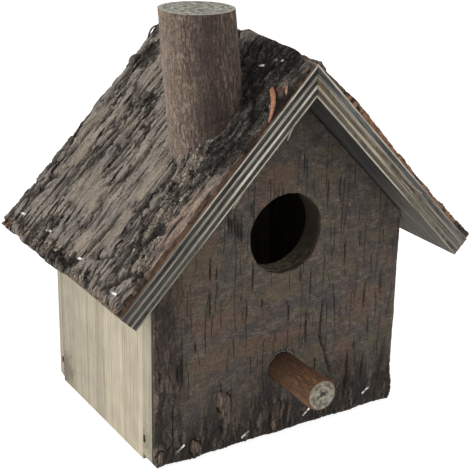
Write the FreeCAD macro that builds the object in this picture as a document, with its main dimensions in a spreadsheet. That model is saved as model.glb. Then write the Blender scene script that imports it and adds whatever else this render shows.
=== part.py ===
"""Hanging birdhouse: a pine box under a mitred plywood roof, dressed in sheets of bark.

Lengths are millimetres and angles are degrees. +Z is up, the front faces -Y, and the
origin is on the ground under the middle of the whole object.
"""

import FreeCAD
import Part
import Sketcher
import math
import os

DIMENSIONS = [
    ("body_width", 125.0, "outside width of the walls"),
    ("body_depth", 94.0, "front panel's face to back panel's back"),
    ("apex_height", 158.0, "underside of the roof at the ridge"),
    ("roof_pitch", 45.75, "slope of each roof board"),
    ("front_thickness", 8.0, "front panel"),
    ("back_thickness", 4.0, "back panel"),
    ("side_thickness", 8.0, "side boards"),
    ("corner_wear", 3.0, "worn lower corners of the gable walls"),
    ("floor_thickness", 3.0, "floor board"),
    ("floor_height", 9.0, "underside of the floor above the ground"),
    ("floor_groove_depth", 2.0, "saw groove in the front and back panels"),
    ("floor_play", 0.2, "clearance over and round the floor"),
    ("roof_thickness", 9.0, "roof boards"),
    ("roof_slope_length", 114.0, "underside of a roof board from ridge to eave"),
    ("roof_front_overhang", 20.5, "roof boards past the front panel"),
    ("entrance_diameter", 35.0, "entrance hole"),
    ("entrance_height", 95.5, "middle of the entrance hole"),
    ("hanging_hole_diameter", 8.0, "hole in the back panel for a hook or nail"),
    ("hanging_hole_height", 130.0, "middle of the hanging hole"),
    ("perch_diameter", 13.4, "perch where it sits in the front panel"),
    ("perch_tip_diameter", 15.0, "perch at its free end"),
    ("perch_tip_round", 0.8, "worn edge at the perch's free end"),
    ("perch_reach", 33.5, "perch past the front panel's face"),
    ("perch_height", 33.5, "middle of the perch"),
    ("perch_clearance", 0.1, "room round the perch in the panel"),
    ("perch_bark_clearance", 0.5, "room round the perch in the bark"),
    ("chimney_foot_offset", 29.5, "middle of the chimney's foot, left of the ridge"),
    ("chimney_setback", 13.8, "middle of the chimney's foot, behind the front panel's face"),
    ("chimney_foot_diameter", 31.6, "log at its foot"),
    ("chimney_top_diameter", 30.2, "log at its top"),
    ("chimney_top_height", 190.6, "level top of the log"),
    ("chimney_lean_out", 9.0, "lean of the log away from the ridge"),
    ("chimney_lean_forward", 5.3, "lean of the log towards the front"),
    ("chimney_seat", 1.5, "bark left under the chimney's foot"),
    ("bark_thickness", 3.4, "plates of the roof bark, on average"),
    ("bark_plate_step", 0.8, "thickest plates of the roof bark above the thinnest"),
    ("bark_lump", 0.8, "lumps on the plates of the roof bark, highest above lowest"),
    ("bark_furrow_depth", 2.0, "furrows of the roof bark below its plates"),
    ("bark_furrow_width", 4.0, "furrows of the roof bark, shoulder to shoulder"),
    ("bark_furrow_wander", 1.5, "how far a furrow of the roof bark wanders sideways"),
    ("bark_eave_lap", 2.0, "roof bark past the eave"),
    ("bark_back_lap", 2.0, "roof bark past the back of the roof boards"),
    ("bark_ridge_lap", 3.5, "left roof bark past the ridge, over the right sheet"),
    ("bark_ridge_gap", 0.3, "right roof bark short of the left sheet"),
    ("bark_corner_tear", 12.0, "length of the left sheet's lap that is torn off at the front"),
    ("bark_tear", 2.4, "depth of the torn edges of the bark"),
    ("front_bark_valley", 2.5, "front bark where it is thinnest"),
    ("front_bark_ridge", 1.1, "ridges of the front bark above its valleys"),
    ("front_bark_spacing", 38.0, "ridges of the front bark, middle to middle"),
    ("front_bark_bend", 26.0, "length over which a ridge of the front bark wanders"),
    ("front_bark_wander", 5.0, "how far a ridge of the front bark wanders sideways"),
    ("front_bark_roof_gap", 0.5, "front bark short of the roof boards"),
    ("staple_crown", 4.6, "staple, outside its legs"),
    ("staple_wire", 1.0, "staple wire"),
    ("staple_leg", 8.0, "staple leg below the bark's surface"),
    ("staple_proud", 0.3, "staple crown above the bark's surface"),
    ("staple_eave_edge", 8.4, "roof staples in from the eave"),
    ("staple_ridge_edge", 9.8, "roof staples in from the ridge"),
    ("front_staple_height", 7.0, "staples along the foot of the front bark"),
    ("brad_width", 1.2, "flat wire of the brads"),
    ("brad_thickness", 1.0, "flat wire of the brads"),
    ("brad_head_width", 2.2, "heads of the brads"),
    ("brad_head_depth", 0.8, "heads of the brads"),
    ("brad_length", 24.0, "brads, head to point"),
    ("screw_diameter", 3.5, "chimney screw"),
    ("screw_head_diameter", 7.0, "countersunk head of the chimney screw"),
    ("screw_length", 32.0, "chimney screw, head to point"),
]

TEARS_PER_EDGE = 9
TEAR_SCATTER = 2.4
PLATE_SCATTER = 1.7
PLATE_DRIFT = 2.2
LUMP_SCATTER = 37.0
FURROW_SCATTER = 2.1
FURROW_BENDS = 13.0
ROOF_SECTION_COUNT = 13
FRONT_SECTION_COUNT = 8
FRONT_FACET_COUNT = 22
FRONT_BRAD_SHARES = (0.28, 0.78)
BACK_BRAD_SHARES = (0.2, 0.52, 0.84)
ROOF_BRAD_SHARES = (0.3, 0.68)
ROOF_STAPLE_ANGLE = 99.0
FRONT_STAPLE_SHARES = (-0.81, -0.29, 0.23, 0.76)
FRONT_STAPLE_RISES = (1.06, 0.66, 0.93, 1.26)
FRONT_STAPLE_ANGLE = 35.0
FURROW_FADE_SHARE = 0.14
LEFT = -1
RIGHT = 1

# Staples by hand stand unevenly: each as a share of the slope from front to back, and as a share of
# its row's distance from the edge.
EAVE_STAPLES = ((0.083, 0.74), (0.376, 1.05), (0.666, 1.18), (0.901, 1.05))
RIDGE_STAPLES = ((0.15, 0.56), (0.216, 1.0), (0.66, 1.0), (0.9, 0.9))

# Each furrow in the roof bark, as shares: across the slope at the ridge and at the eave, from the
# slope's near end, and down the slope where the furrow opens and where it closes.
FURROWS = {
    LEFT: [
        (0.164, 0.041, 0.36, 0.93),
        (0.300, 0.105, 0.05, 0.55),
        (0.426, 0.170, 0.30, 0.86),
        (0.500, 0.321, 0.40, 0.74),
        (0.575, 0.478, 0.44, 0.94),
        (0.665, 0.618, 0.64, 0.96),
        (0.740, 0.732, 0.10, 0.72),
        (0.815, 0.845, 0.52, 1.00),
        (0.915, 0.950, 0.06, 0.52),
    ],
    RIGHT: [
        (0.080, 0.095, 0.08, 0.80),
        (0.190, 0.210, 0.30, 0.95),
        (0.300, 0.310, 0.04, 0.60),
        (0.390, 0.420, 0.50, 1.00),
        (0.500, 0.530, 0.06, 0.66),
        (0.610, 0.620, 0.40, 0.95),
        (0.710, 0.725, 0.14, 0.75),
        (0.820, 0.840, 0.35, 0.92),
        (0.920, 0.930, 0.10, 0.60),
    ],
}

doc = FreeCAD.newDocument("birdhouse")
sheet = doc.addObject("Spreadsheet::Sheet", "dimensions")
for row, (alias, value, meaning) in enumerate(DIMENSIONS, start=1):
    sheet.set(f"A{row}", meaning)
    sheet.set(f"B{row}", str(value))
    sheet.setAlias(f"B{row}", alias)
doc.recompute()


def number(expression):
    """The value of an expression on the sheet, as a plain number."""
    return float(sheet.evalExpression(expression))


def size(alias):
    """One driving dimension, as a plain number."""
    return number(f"dimensions.{alias}")


HALF_WIDTH = "(dimensions.body_width / 2)"
SLOPE = "tan(dimensions.roof_pitch)"
WALL_TOP = f"(dimensions.apex_height - {HALF_WIDTH} * {SLOPE})"
CORNER_BITE = "dimensions.corner_wear * (1 - sqrt(0.5))"
FRONT_FACE = "((dimensions.perch_reach - dimensions.body_depth - dimensions.bark_back_lap) / 2)"
SIDE_LENGTH = "(dimensions.body_depth - dimensions.front_thickness - dimensions.back_thickness)"
ROOF_DEPTH = "(dimensions.roof_front_overhang + dimensions.body_depth)"
ROOF_FRONT = f"({FRONT_FACE} - dimensions.roof_front_overhang)"
ROOF_TOP = "(dimensions.apex_height + dimensions.roof_thickness / cos(dimensions.roof_pitch))"
ROOF_TOP_LENGTH = f"(dimensions.roof_slope_length + dimensions.roof_thickness * {SLOPE})"
FOOT_X = "(-dimensions.chimney_foot_offset)"
FOOT_Y = f"({FRONT_FACE} + dimensions.chimney_setback)"
FOOT_Z = (
    f"({ROOF_TOP} - dimensions.chimney_foot_offset * {SLOPE}"
    " + dimensions.chimney_seat / cos(dimensions.roof_pitch))"
)


def new_body(label, x="0", y="0", z="0"):
    """An empty body with its own name, placed by expressions."""
    body = doc.addObject("PartDesign::Body", label)
    body.Label = label
    place(body, x, y, z)
    return body


def place(piece, x="0", y="0", z="0"):
    """Tie a piece's position to the sheet."""
    piece.setExpression("Placement.Base.x", x)
    piece.setExpression("Placement.Base.y", y)
    piece.setExpression("Placement.Base.z", z)


def new_sketch(body, role, name, offset="0"):
    """A sketch on one of the body's own origin planes, moved along its normal."""
    sketch = body.newObject("Sketcher::SketchObject", name)
    plane = next(item for item in body.Origin.OriginFeatures if item.Role == role)
    sketch.AttachmentSupport = [(plane, "")]
    sketch.MapMode = "FlatFace"
    sketch.setExpression("AttachmentOffset.Base.z", offset)
    return sketch


def fix_point(sketch, geometry, point, name, across, up):
    """Hold a sketch point at two expressions, measured from the sketch's origin."""
    for kind, axis, expression in (("DistanceX", -2, across), ("DistanceY", -1, up)):
        if expression == "0":
            sketch.addConstraint(Sketcher.Constraint("PointOnObject", geometry, point, axis))
            continue
        datum = number(expression)
        index = sketch.addConstraint(Sketcher.Constraint(kind, -1, 1, geometry, point, datum))
        label = f"{name}_{kind}"
        sketch.renameConstraint(index, label)
        sketch.setExpression(f"Constraints.{label}", expression)


def draw_outline(sketch, corners):
    """A closed outline of straight runs through corners given as pairs of expressions."""
    points = [FreeCAD.Vector(number(across), number(up), 0) for across, up in corners]
    count = len(points)
    for index in range(count):
        sketch.addGeometry(Part.LineSegment(points[index], points[(index + 1) % count]))
    for index in range(count):
        sketch.addConstraint(Sketcher.Constraint("Coincident", index, 2, (index + 1) % count, 1))
    for index, (across, up) in enumerate(corners):
        fix_point(sketch, index, 1, f"corner{index}", across, up)


def draw_circle(sketch, across, up, diameter):
    """A circle centred on two expressions."""
    centre = FreeCAD.Vector(number(across), number(up), 0)
    index = sketch.addGeometry(Part.Circle(centre, FreeCAD.Vector(0, 0, 1), number(diameter) / 2))
    fix_point(sketch, index, 3, f"centre{index}", across, up)
    constraint = sketch.addConstraint(Sketcher.Constraint("Diameter", index, number(diameter)))
    label = f"diameter{index}"
    sketch.renameConstraint(constraint, label)
    sketch.setExpression(f"Constraints.{label}", diameter)


def pad_back(body, sketch, length):
    """Pad a sketch on the front plane towards the back, +Y."""
    pad = body.newObject("PartDesign::Pad", f"{sketch.Name}_pad")
    pad.Profile = sketch
    pad.Reversed = True
    pad.setExpression("Length", length)
    doc.recompute()


def pocket_back(body, sketch, depth):
    """Cut a sketch on the front plane towards the back, +Y, and see that it cut something."""
    before = body.Shape.Volume
    pocket = body.newObject("PartDesign::Pocket", f"{sketch.Name}_pocket")
    pocket.Profile = sketch
    pocket.setExpression("Length", depth)
    doc.recompute()
    if body.Shape.Volume >= before:
        raise ValueError(f"{sketch.Name} cut nothing from {body.Label}")


def revolve(body, sketch, axis):
    """Turn a half profile about one of its sketch's own axes."""
    turned = body.newObject("PartDesign::Revolution", f"{sketch.Name}_turned")
    turned.Profile = sketch
    turned.ReferenceAxis = (sketch, [axis])
    turned.Angle = 360
    doc.recompute()


def cut_by(piece, tools):
    """A piece with a close-fitting hole for each tool that goes through it."""
    label = piece.Label
    for tool in tools:
        piece.Label = f"{label}_uncut_by_{tool.Name}"
        cut = doc.addObject("Part::Cut", f"{label}_cut")
        cut.Base = piece
        cut.Tool = tool
        cut.Label = label
        doc.recompute()
        piece = cut
    return piece


def gable_corners():
    """The outline of a gable wall, across and up, its lower corners worn round."""
    wear = "dimensions.corner_wear"
    bite = f"({CORNER_BITE})"
    return [
        (f"-{HALF_WIDTH}", wear),
        (f"-{HALF_WIDTH} + {bite}", bite),
        (f"-{HALF_WIDTH} + {wear}", "0"),
        (f"{HALF_WIDTH} - {wear}", "0"),
        (f"{HALF_WIDTH} - {bite}", bite),
        (HALF_WIDTH, wear),
        (HALF_WIDTH, WALL_TOP),
        ("0", "dimensions.apex_height"),
        (f"-{HALF_WIDTH}", WALL_TOP),
    ]


def groove_corners():
    """The floor's saw groove, right across a gable wall."""
    low = "dimensions.floor_height"
    high = "(dimensions.floor_height + dimensions.floor_thickness + dimensions.floor_play)"
    return [(f"-{HALF_WIDTH}", low), (HALF_WIDTH, low), (HALF_WIDTH, high), (f"-{HALF_WIDTH}", high)]


def make_front_panel():
    """Gable board with the entrance, the perch hole and the floor groove."""
    body = new_body("front_panel", y=FRONT_FACE)
    wall = new_sketch(body, "XZ_Plane", "front_outline")
    draw_outline(wall, gable_corners())
    pad_back(body, wall, "dimensions.front_thickness")
    holes = new_sketch(body, "XZ_Plane", "front_holes")
    draw_circle(holes, "0", "dimensions.entrance_height", "dimensions.entrance_diameter")
    perch_hole = "dimensions.perch_diameter + 2 * dimensions.perch_clearance"
    draw_circle(holes, "0", "dimensions.perch_height", perch_hole)
    pocket_back(body, holes, "dimensions.front_thickness")
    groove_plane = "dimensions.floor_groove_depth - dimensions.front_thickness"
    groove = new_sketch(body, "XZ_Plane", "front_groove", groove_plane)
    draw_outline(groove, groove_corners())
    pocket_back(body, groove, "dimensions.floor_groove_depth")
    return body


def make_back_panel():
    """Thin gable board with the hanging hole and the floor groove."""
    inner_face = f"{FRONT_FACE} + dimensions.body_depth - dimensions.back_thickness"
    body = new_body("back_panel", y=inner_face)
    wall = new_sketch(body, "XZ_Plane", "back_outline")
    draw_outline(wall, gable_corners())
    pad_back(body, wall, "dimensions.back_thickness")
    hole = new_sketch(body, "XZ_Plane", "back_hole")
    draw_circle(hole, "0", "dimensions.hanging_hole_height", "dimensions.hanging_hole_diameter")
    pocket_back(body, hole, "dimensions.back_thickness")
    groove = new_sketch(body, "XZ_Plane", "back_groove")
    draw_outline(groove, groove_corners())
    pocket_back(body, groove, "dimensions.floor_groove_depth")
    return body


def make_side(label, side):
    """Side board between the gables, its top bevelled to the roof."""
    body = new_body(label, y=f"{FRONT_FACE} + dimensions.front_thickness")
    section = new_sketch(body, "XZ_Plane", f"{label}_section")
    outer = f"{side} * {HALF_WIDTH}"
    inner = f"{side} * ({HALF_WIDTH} - dimensions.side_thickness)"
    inner_top = f"{WALL_TOP} + dimensions.side_thickness * {SLOPE}"
    draw_outline(section, [(inner, "0"), (outer, "0"), (outer, WALL_TOP), (inner, inner_top)])
    pad_back(body, section, SIDE_LENGTH)
    return body


def make_floor_board():
    """Floor between the sides, its front and back edges in the saw grooves."""
    floor = doc.addObject("Part::Box", "floor_board")
    floor.Label = "floor_board"
    clear_width = "dimensions.body_width - 2 * dimensions.side_thickness - 2 * dimensions.floor_play"
    groove_span = f"{SIDE_LENGTH} + 2 * dimensions.floor_groove_depth - 2 * dimensions.floor_play"
    floor.setExpression("Length", clear_width)
    floor.setExpression("Width", groove_span)
    floor.setExpression("Height", "dimensions.floor_thickness")
    front_edge = (
        f"{FRONT_FACE} + dimensions.front_thickness"
        " - dimensions.floor_groove_depth + dimensions.floor_play"
    )
    place(floor, f"-({clear_width}) / 2", front_edge, "dimensions.floor_height")
    return floor


def make_roof_board(label, side):
    """Roof board, mitred upright at the ridge and cut square at the eave."""
    body = new_body(label, y=ROOF_FRONT)
    section = new_sketch(body, "XZ_Plane", f"{label}_section")
    run = "dimensions.roof_slope_length * cos(dimensions.roof_pitch)"
    drop = "dimensions.roof_slope_length * sin(dimensions.roof_pitch)"
    rise = "dimensions.roof_thickness * cos(dimensions.roof_pitch)"
    step = "dimensions.roof_thickness * sin(dimensions.roof_pitch)"
    eave_low = f"dimensions.apex_height - {drop}"
    draw_outline(
        section,
        [
            ("0", "dimensions.apex_height"),
            (f"{side} * {run}", eave_low),
            (f"{side} * ({run} + {step})", f"{eave_low} + {rise}"),
            ("0", ROOF_TOP),
        ],
    )
    pad_back(body, section, ROOF_DEPTH)
    return body


def make_perch():
    """Stick turned from its half profile: a plain end in the panel, thicker towards its tip."""
    body = new_body("perch", y=FRONT_FACE, z="dimensions.perch_height")
    profile = new_sketch(body, "YZ_Plane", "perch_profile")
    shank = "dimensions.perch_diameter / 2"
    tip = "dimensions.perch_tip_diameter / 2"
    draw_outline(
        profile,
        [
            ("dimensions.front_thickness", "0"),
            ("dimensions.front_thickness", shank),
            ("-dimensions.front_bark_valley", shank),
            ("dimensions.perch_tip_round - dimensions.perch_reach", tip),
            ("-dimensions.perch_reach", f"{tip} - dimensions.perch_tip_round"),
            ("-dimensions.perch_reach", "0"),
        ],
    )
    revolve(body, profile, "H_Axis")
    return body


def make_chimney_log():
    """Leaning, tapered log, cut level at its top and to the roof's slope at its foot."""
    reach = "(2 * dimensions.chimney_foot_diameter)"
    height = f"(dimensions.chimney_top_height - {FOOT_Z})"
    branch = new_body("branch", FOOT_X, FOOT_Y, FOOT_Z)
    sideways = math.tan(math.radians(size("chimney_lean_out")))
    forwards = math.tan(math.radians(size("chimney_lean_forward")))
    axis = FreeCAD.Vector(-sideways, -forwards, 1)
    branch.Placement.Rotation = FreeCAD.Rotation(FreeCAD.Vector(0, 0, 1), axis)
    profile = new_sketch(branch, "XZ_Plane", "branch_profile")
    foot = "dimensions.chimney_foot_diameter / 2"
    top = "dimensions.chimney_top_diameter / 2"
    shrink = f"(({foot} - {top}) * {reach} / {height})"
    draw_outline(
        profile,
        [
            ("0", f"-{reach}"),
            (f"{foot} + {shrink}", f"-{reach}"),
            (f"{top} - {shrink}", f"{height} + {reach}"),
            ("0", f"{height} + {reach}"),
        ],
    )
    revolve(branch, profile, "V_Axis")
    length = new_body("length_between_cuts", FOOT_X, f"{FOOT_Y} - {reach}", FOOT_Z)
    cuts = new_sketch(length, "XZ_Plane", "log_cuts")
    draw_outline(
        cuts,
        [
            (f"-{reach}", f"-{reach} * {SLOPE}"),
            (f"{height} / {SLOPE}", height),
            (f"-{reach}", height),
        ],
    )
    pad_back(length, cuts, f"2 * {reach}")
    log = doc.addObject("Part::Common", "chimney_log")
    log.Label = "chimney_log"
    log.Base = branch
    log.Tool = length
    doc.recompute()
    return log


def make_chimney_screw():
    """Countersunk screw, square to the left roof board, its head flush inside the house."""
    depth = "(dimensions.roof_thickness + dimensions.chimney_seat)"
    body = new_body(
        "chimney_screw",
        f"{FOOT_X} + {depth} * sin(dimensions.roof_pitch)",
        FOOT_Y,
        f"{FOOT_Z} - {depth} * cos(dimensions.roof_pitch)",
    )
    body.Placement.Rotation = FreeCAD.Rotation(FreeCAD.Vector(0, -1, 0), size("roof_pitch"))
    body.setExpression("Placement.Rotation.Angle", "dimensions.roof_pitch")
    profile = new_sketch(body, "XZ_Plane", "screw_profile")
    shank = "dimensions.screw_diameter / 2"
    head = "dimensions.screw_head_diameter / 2"
    draw_outline(
        profile,
        [
            ("0", "0"),
            (head, "0"),
            (shank, f"{head} - {shank}"),
            (shank, "dimensions.screw_length - dimensions.screw_diameter"),
            ("0", "dimensions.screw_length"),
        ],
    )
    revolve(body, profile, "V_Axis")
    return body


def feature(label, shape, placement=None):
    """A piece whose shape is made directly, for forms that sketches don't suit."""
    piece = doc.addObject("Part::Feature", label)
    piece.Label = label
    piece.Shape = shape
    if placement:
        piece.Placement = placement
    return piece


def slope_placement(side):
    """Frame of a roof slope: X down the slope from the ridge, Z square out of the board."""
    turn = FreeCAD.Rotation(FreeCAD.Vector(0, 1, 0), side * size("roof_pitch"))
    if side == LEFT:
        turn = turn * FreeCAD.Rotation(FreeCAD.Vector(0, 0, 1), 180)
    return FreeCAD.Placement(FreeCAD.Vector(0, 0, number(ROOF_TOP)), turn)


def slope_ends(side, back_lap=0):
    """Where the roof's front and back ends lie across a slope's own frame, the lower one first."""
    front = number(ROOF_FRONT)
    back = front + number(ROOF_DEPTH) + back_lap
    return (front, back) if side == RIGHT else (-back, -front)


def front_placement():
    """Frame of the front panel's face: X to the right, Y up, Z towards the viewer."""
    turn = FreeCAD.Rotation(FreeCAD.Vector(1, 0, 0), 90)
    return FreeCAD.Placement(FreeCAD.Vector(0, number(FRONT_FACE), 0), turn)


def torn_outline(corners, tears, phase):
    """Points round corners given anticlockwise, each run torn back by up to its own depth."""
    points = []
    for index, (start_x, start_y) in enumerate(corners):
        end_x, end_y = corners[(index + 1) % len(corners)]
        length = math.hypot(end_x - start_x, end_y - start_y)
        inward = ((start_y - end_y) / length, (end_x - start_x) / length)
        points.append(FreeCAD.Vector(start_x, start_y, 0))
        for tear in range(1, TEARS_PER_EDGE if tears[index] else 1):
            share = tear / TEARS_PER_EDGE
            depth = tears[index] * (0.5 + 0.5 * math.sin(TEAR_SCATTER * tear * tear + phase + index))
            x = start_x + share * (end_x - start_x) + depth * inward[0]
            y = start_y + share * (end_y - start_y) + depth * inward[1]
            points.append(FreeCAD.Vector(x, y, 0))
    return points


def flat_face(*corners):
    """A flat face with straight edges."""
    return Part.Face(Part.makePolygon(list(corners) + [corners[0]]))


def faceted_solid(sections):
    """A solid with flat facets from each cross section to the next; all have as many corners."""
    faces = [flat_face(*sections[0]), flat_face(*sections[-1])]
    for before, after in zip(sections, sections[1:]):
        for corner in range(len(before) - 1):
            faces.append(flat_face(before[corner], before[corner + 1], after[corner + 1]))
            faces.append(flat_face(before[corner], after[corner + 1], after[corner]))
    first_edge = [section[0] for section in sections]
    last_edge = [section[-1] for section in sections]
    faces.append(flat_face(*first_edge, *last_edge[::-1]))
    shell = Part.makeShell(faces)
    shell.sewShape()
    solid = Part.makeSolid(Part.Shell(shell.Faces))
    if solid.Volume < 0:
        solid.reverse()
    return solid


def bark_sheet(points, crest, section_count, upright):
    """A sheet of bark inside an outline: flat below, its top faceted through the crests of sections."""
    outline = Part.Face(Part.makePolygon(points + points[:1]))
    box = outline.BoundBox
    margin = size("bark_tear")
    box.enlarge(margin)
    start, run = (box.YMin, box.YLength) if upright else (box.XMin, box.XLength)
    low, high = (box.XMin, box.XMax) if upright else (box.YMin, box.YMax)
    sections = []
    for i in range(section_count + 1):
        along = start + run * i / section_count
        line = [(low, -margin)] + crest(along, low, high) + [(high, -margin)]
        if upright:
            sections.append([FreeCAD.Vector(across, along, height) for across, height in line])
        else:
            sections.append([FreeCAD.Vector(along, across, height) for across, height in line])
    ridged = faceted_solid(sections)
    thickest = max(vertex.Z for vertex in ridged.Vertexes)
    prism = outline.extrude(FreeCAD.Vector(0, 0, 2 * thickest))
    return ridged.common(prism).Solids[0]


def plate_height(side, index, share):
    """Thickness of one plate of the roof bark, which changes slowly down the slope."""
    rise = math.sin(PLATE_SCATTER * index * index + PLATE_DRIFT * share + side)
    return size("bark_thickness") + rise * size("bark_plate_step") / 2


def lump_height(index, share):
    """Rise or dip in the middle of one plate of the roof bark."""
    return math.sin(LUMP_SCATTER * share + PLATE_SCATTER * index * index) * size("bark_lump") / 2


def roof_bark_crest(side):
    """The top of one slope's bark across the sheet, as a function of the place down the slope."""
    near, far = slope_ends(side)
    half = size("bark_furrow_width") / 2

    def crest(down, low, high):
        share = down / number(ROOF_TOP_LENGTH)
        line = [(low, plate_height(side, 0, share))]
        for index, (at_ridge, at_eave, opens, closes) in enumerate(FURROWS[side]):
            straight = near + (at_ridge + share * (at_eave - at_ridge)) * (far - near)
            bend = math.sin(FURROW_BENDS * share + FURROW_SCATTER * index)
            middle = straight + bend * size("bark_furrow_wander")
            before = plate_height(side, index, share)
            after = plate_height(side, index + 1, share)
            opened = min(share - opens, closes - share) / FURROW_FADE_SHARE
            depth = size("bark_furrow_depth") * max(0, min(1, opened))
            plate_middle = (line[-1][0] + middle - half) / 2
            line.append((plate_middle, before + lump_height(index, share)))
            line.append((middle - half, before))
            line.append((middle, (before + after) / 2 - depth))
            line.append((middle + half, after))
        line.append((high, plate_height(side, len(FURROWS[side]), share)))
        return line

    return crest


def height_on(line, across):
    """The height at one place on a crest line."""
    for (start, low), (end, high) in zip(line, line[1:]):
        if start <= across <= end:
            return low + (high - low) * (across - start) / (end - start)
    raise ValueError("the place is off the sheet of bark")


def front_bark_height(x, z):
    """Thickness of the front bark: long upright ridges that wander as they rise."""
    phase = 1.4
    spacing = size("front_bark_spacing")
    wander = size("front_bark_wander") * math.sin(z / size("front_bark_bend") + phase)
    broad = math.sin(2 * math.pi * (x + wander) / spacing + phase)
    narrow = math.sin(3.3 * math.pi * (x - wander) / spacing + 2 * phase)
    return size("front_bark_valley") + size("front_bark_ridge") * (0.5 + 0.3 * broad + 0.2 * narrow)


def front_bark_crest(z, low, high):
    """The top of the front bark across the sheet at one height."""
    places = [low + (high - low) * j / FRONT_FACET_COUNT for j in range(FRONT_FACET_COUNT + 1)]
    return [(x, front_bark_height(x, z)) for x in places]


def make_roof_bark(label, side):
    """Bark over one roof board; the left sheet laps over the ridge, the right one stops under it."""
    near, far = slope_ends(side, size("bark_back_lap"))
    eave = number(ROOF_TOP_LENGTH) + size("bark_eave_lap")
    tear = size("bark_tear")
    if side == LEFT:
        ridge = -size("bark_ridge_lap")
        top_end = [(0, far), (ridge, far - size("bark_corner_tear"))]
        tears = [tear, tear, tear, 0, tear]
    else:
        thickest = size("bark_thickness") + (size("bark_plate_step") + size("bark_lump")) / 2
        undercut = thickest / math.tan(math.radians(2 * size("roof_pitch")))
        ridge = size("bark_ridge_gap") + max(0, undercut)
        top_end = [(ridge, far)]
        tears = [tear, tear, tear, 0]
    corners = [(ridge, near), (eave, near), (eave, far)] + top_end
    outline = torn_outline(corners, tears, 0.9 * side)
    sheet_shape = bark_sheet(outline, roof_bark_crest(side), ROOF_SECTION_COUNT, upright=False)
    return feature(label, sheet_shape, slope_placement(side))


def make_front_bark():
    """Bark over the front panel, with the entrance and the perch hole cut through it."""
    half = number(HALF_WIDTH)
    gap = size("front_bark_roof_gap") / math.cos(math.radians(size("roof_pitch")))
    wall_top = number(WALL_TOP) - gap
    apex = size("apex_height") - gap
    wear = size("corner_wear")
    bite = number(CORNER_BITE)
    foot = [(wear - half, 0), (half - wear, 0), (half - bite, bite), (half, wear)]
    gable = [(half, wall_top), (0, apex), (-half, wall_top), (-half, wear), (bite - half, bite)]
    tear = size("bark_tear")
    tears = [tear / 2, 0, 0, tear / 3, 0, 0, tear / 3, 0, 0]
    outline = torn_outline(foot + gable, tears, 2.0)
    sheet_shape = bark_sheet(outline, front_bark_crest, FRONT_SECTION_COUNT, upright=True)
    thickest = size("front_bark_valley") + size("front_bark_ridge")
    perch_hole = size("perch_diameter") / 2 + size("perch_bark_clearance")
    holes = ((size("entrance_height"), size("entrance_diameter") / 2), (size("perch_height"), perch_hole))
    for height, radius in holes:
        drill = Part.makeCylinder(radius, 2 * thickest, FreeCAD.Vector(0, height, -thickest / 2))
        sheet_shape = sheet_shape.cut(drill)
    return feature("front_bark", sheet_shape, front_placement())


def staple(x, y, surface, turn):
    """One staple with its crown just proud of the bark's surface, turned about its middle."""
    wire = size("staple_wire")
    crown = size("staple_crown")
    top = surface + size("staple_proud")
    foot = surface - size("staple_leg")
    blank = Part.makeBox(crown, wire, top - foot, FreeCAD.Vector(-crown / 2, -wire / 2, foot))
    gap_size = crown - 2 * wire
    gap = Part.makeBox(gap_size, 2 * wire, top - wire - foot, FreeCAD.Vector(-gap_size / 2, -wire, foot))
    bent = blank.cut(gap)
    bent.rotate(FreeCAD.Vector(0, 0, 0), FreeCAD.Vector(0, 0, 1), turn)
    bent.translate(FreeCAD.Vector(x, y, 0))
    return bent


def make_roof_staples(label, side):
    """A row of staples along the eave and another along the ridge, crowns nearly along the rows."""
    near, far = slope_ends(side)
    crest = roof_bark_crest(side)
    eave = number(ROOF_TOP_LENGTH)
    places = [(inset * size("staple_ridge_edge"), share) for share, inset in RIDGE_STAPLES]
    places += [(eave - inset * size("staple_eave_edge"), share) for share, inset in EAVE_STAPLES]
    staples = []
    for down, share in places:
        across = near + share * (far - near) if side == RIGHT else far - share * (far - near)
        surface = height_on(crest(down, near, far), across)
        staples.append(staple(down, across, surface, ROOF_STAPLE_ANGLE))
    return feature(label, Part.makeCompound(staples), slope_placement(side))


def make_front_staples():
    """Slanted staples along the foot of the front bark."""
    staples = []
    for share, rise in zip(FRONT_STAPLE_SHARES, FRONT_STAPLE_RISES):
        x = share * number(HALF_WIDTH)
        level = rise * size("front_staple_height")
        staples.append(staple(x, level, front_bark_height(x, level), FRONT_STAPLE_ANGLE))
    return feature("front_bark_staples", Part.makeCompound(staples), front_placement())


def brad():
    """One flat-wire brad along +Z: a T head with its top at the origin, and a chisel point."""
    head = size("brad_head_width") / 2
    neck = size("brad_head_depth")
    shank = size("brad_width") / 2
    point = size("brad_length")
    shoulder = point - size("brad_width")
    half = [(head, 0), (head, neck), (shank, neck), (shank, shoulder)]
    outline = [(-x, z) for x, z in half] + [(0, point)] + half[::-1]
    thickness = size("brad_thickness")
    corners = [FreeCAD.Vector(x, -thickness / 2, z) for x, z in outline]
    return Part.Face(Part.makePolygon(corners + corners[:1])).extrude(FreeCAD.Vector(0, thickness, 0))


def make_brads(label, heads):
    """A group of brads, each from the middle of its head along its own direction."""
    brads = []
    for head, direction in heads:
        turn = FreeCAD.Rotation(FreeCAD.Vector(0, 0, 1), direction)
        one = brad()
        one.Placement = FreeCAD.Placement(head, turn)
        brads.append(one)
    return feature(label, Part.makeCompound(brads))


def wall_brad_heads(face, shares, direction):
    """Heads on a gable wall's outer face, over the middle of each side board's edge."""
    heads = []
    for side in (LEFT, RIGHT):
        x = side * (number(HALF_WIDTH) - size("side_thickness") / 2)
        for share in shares:
            heads.append((FreeCAD.Vector(x, face, share * number(WALL_TOP)), direction))
    return heads


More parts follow.
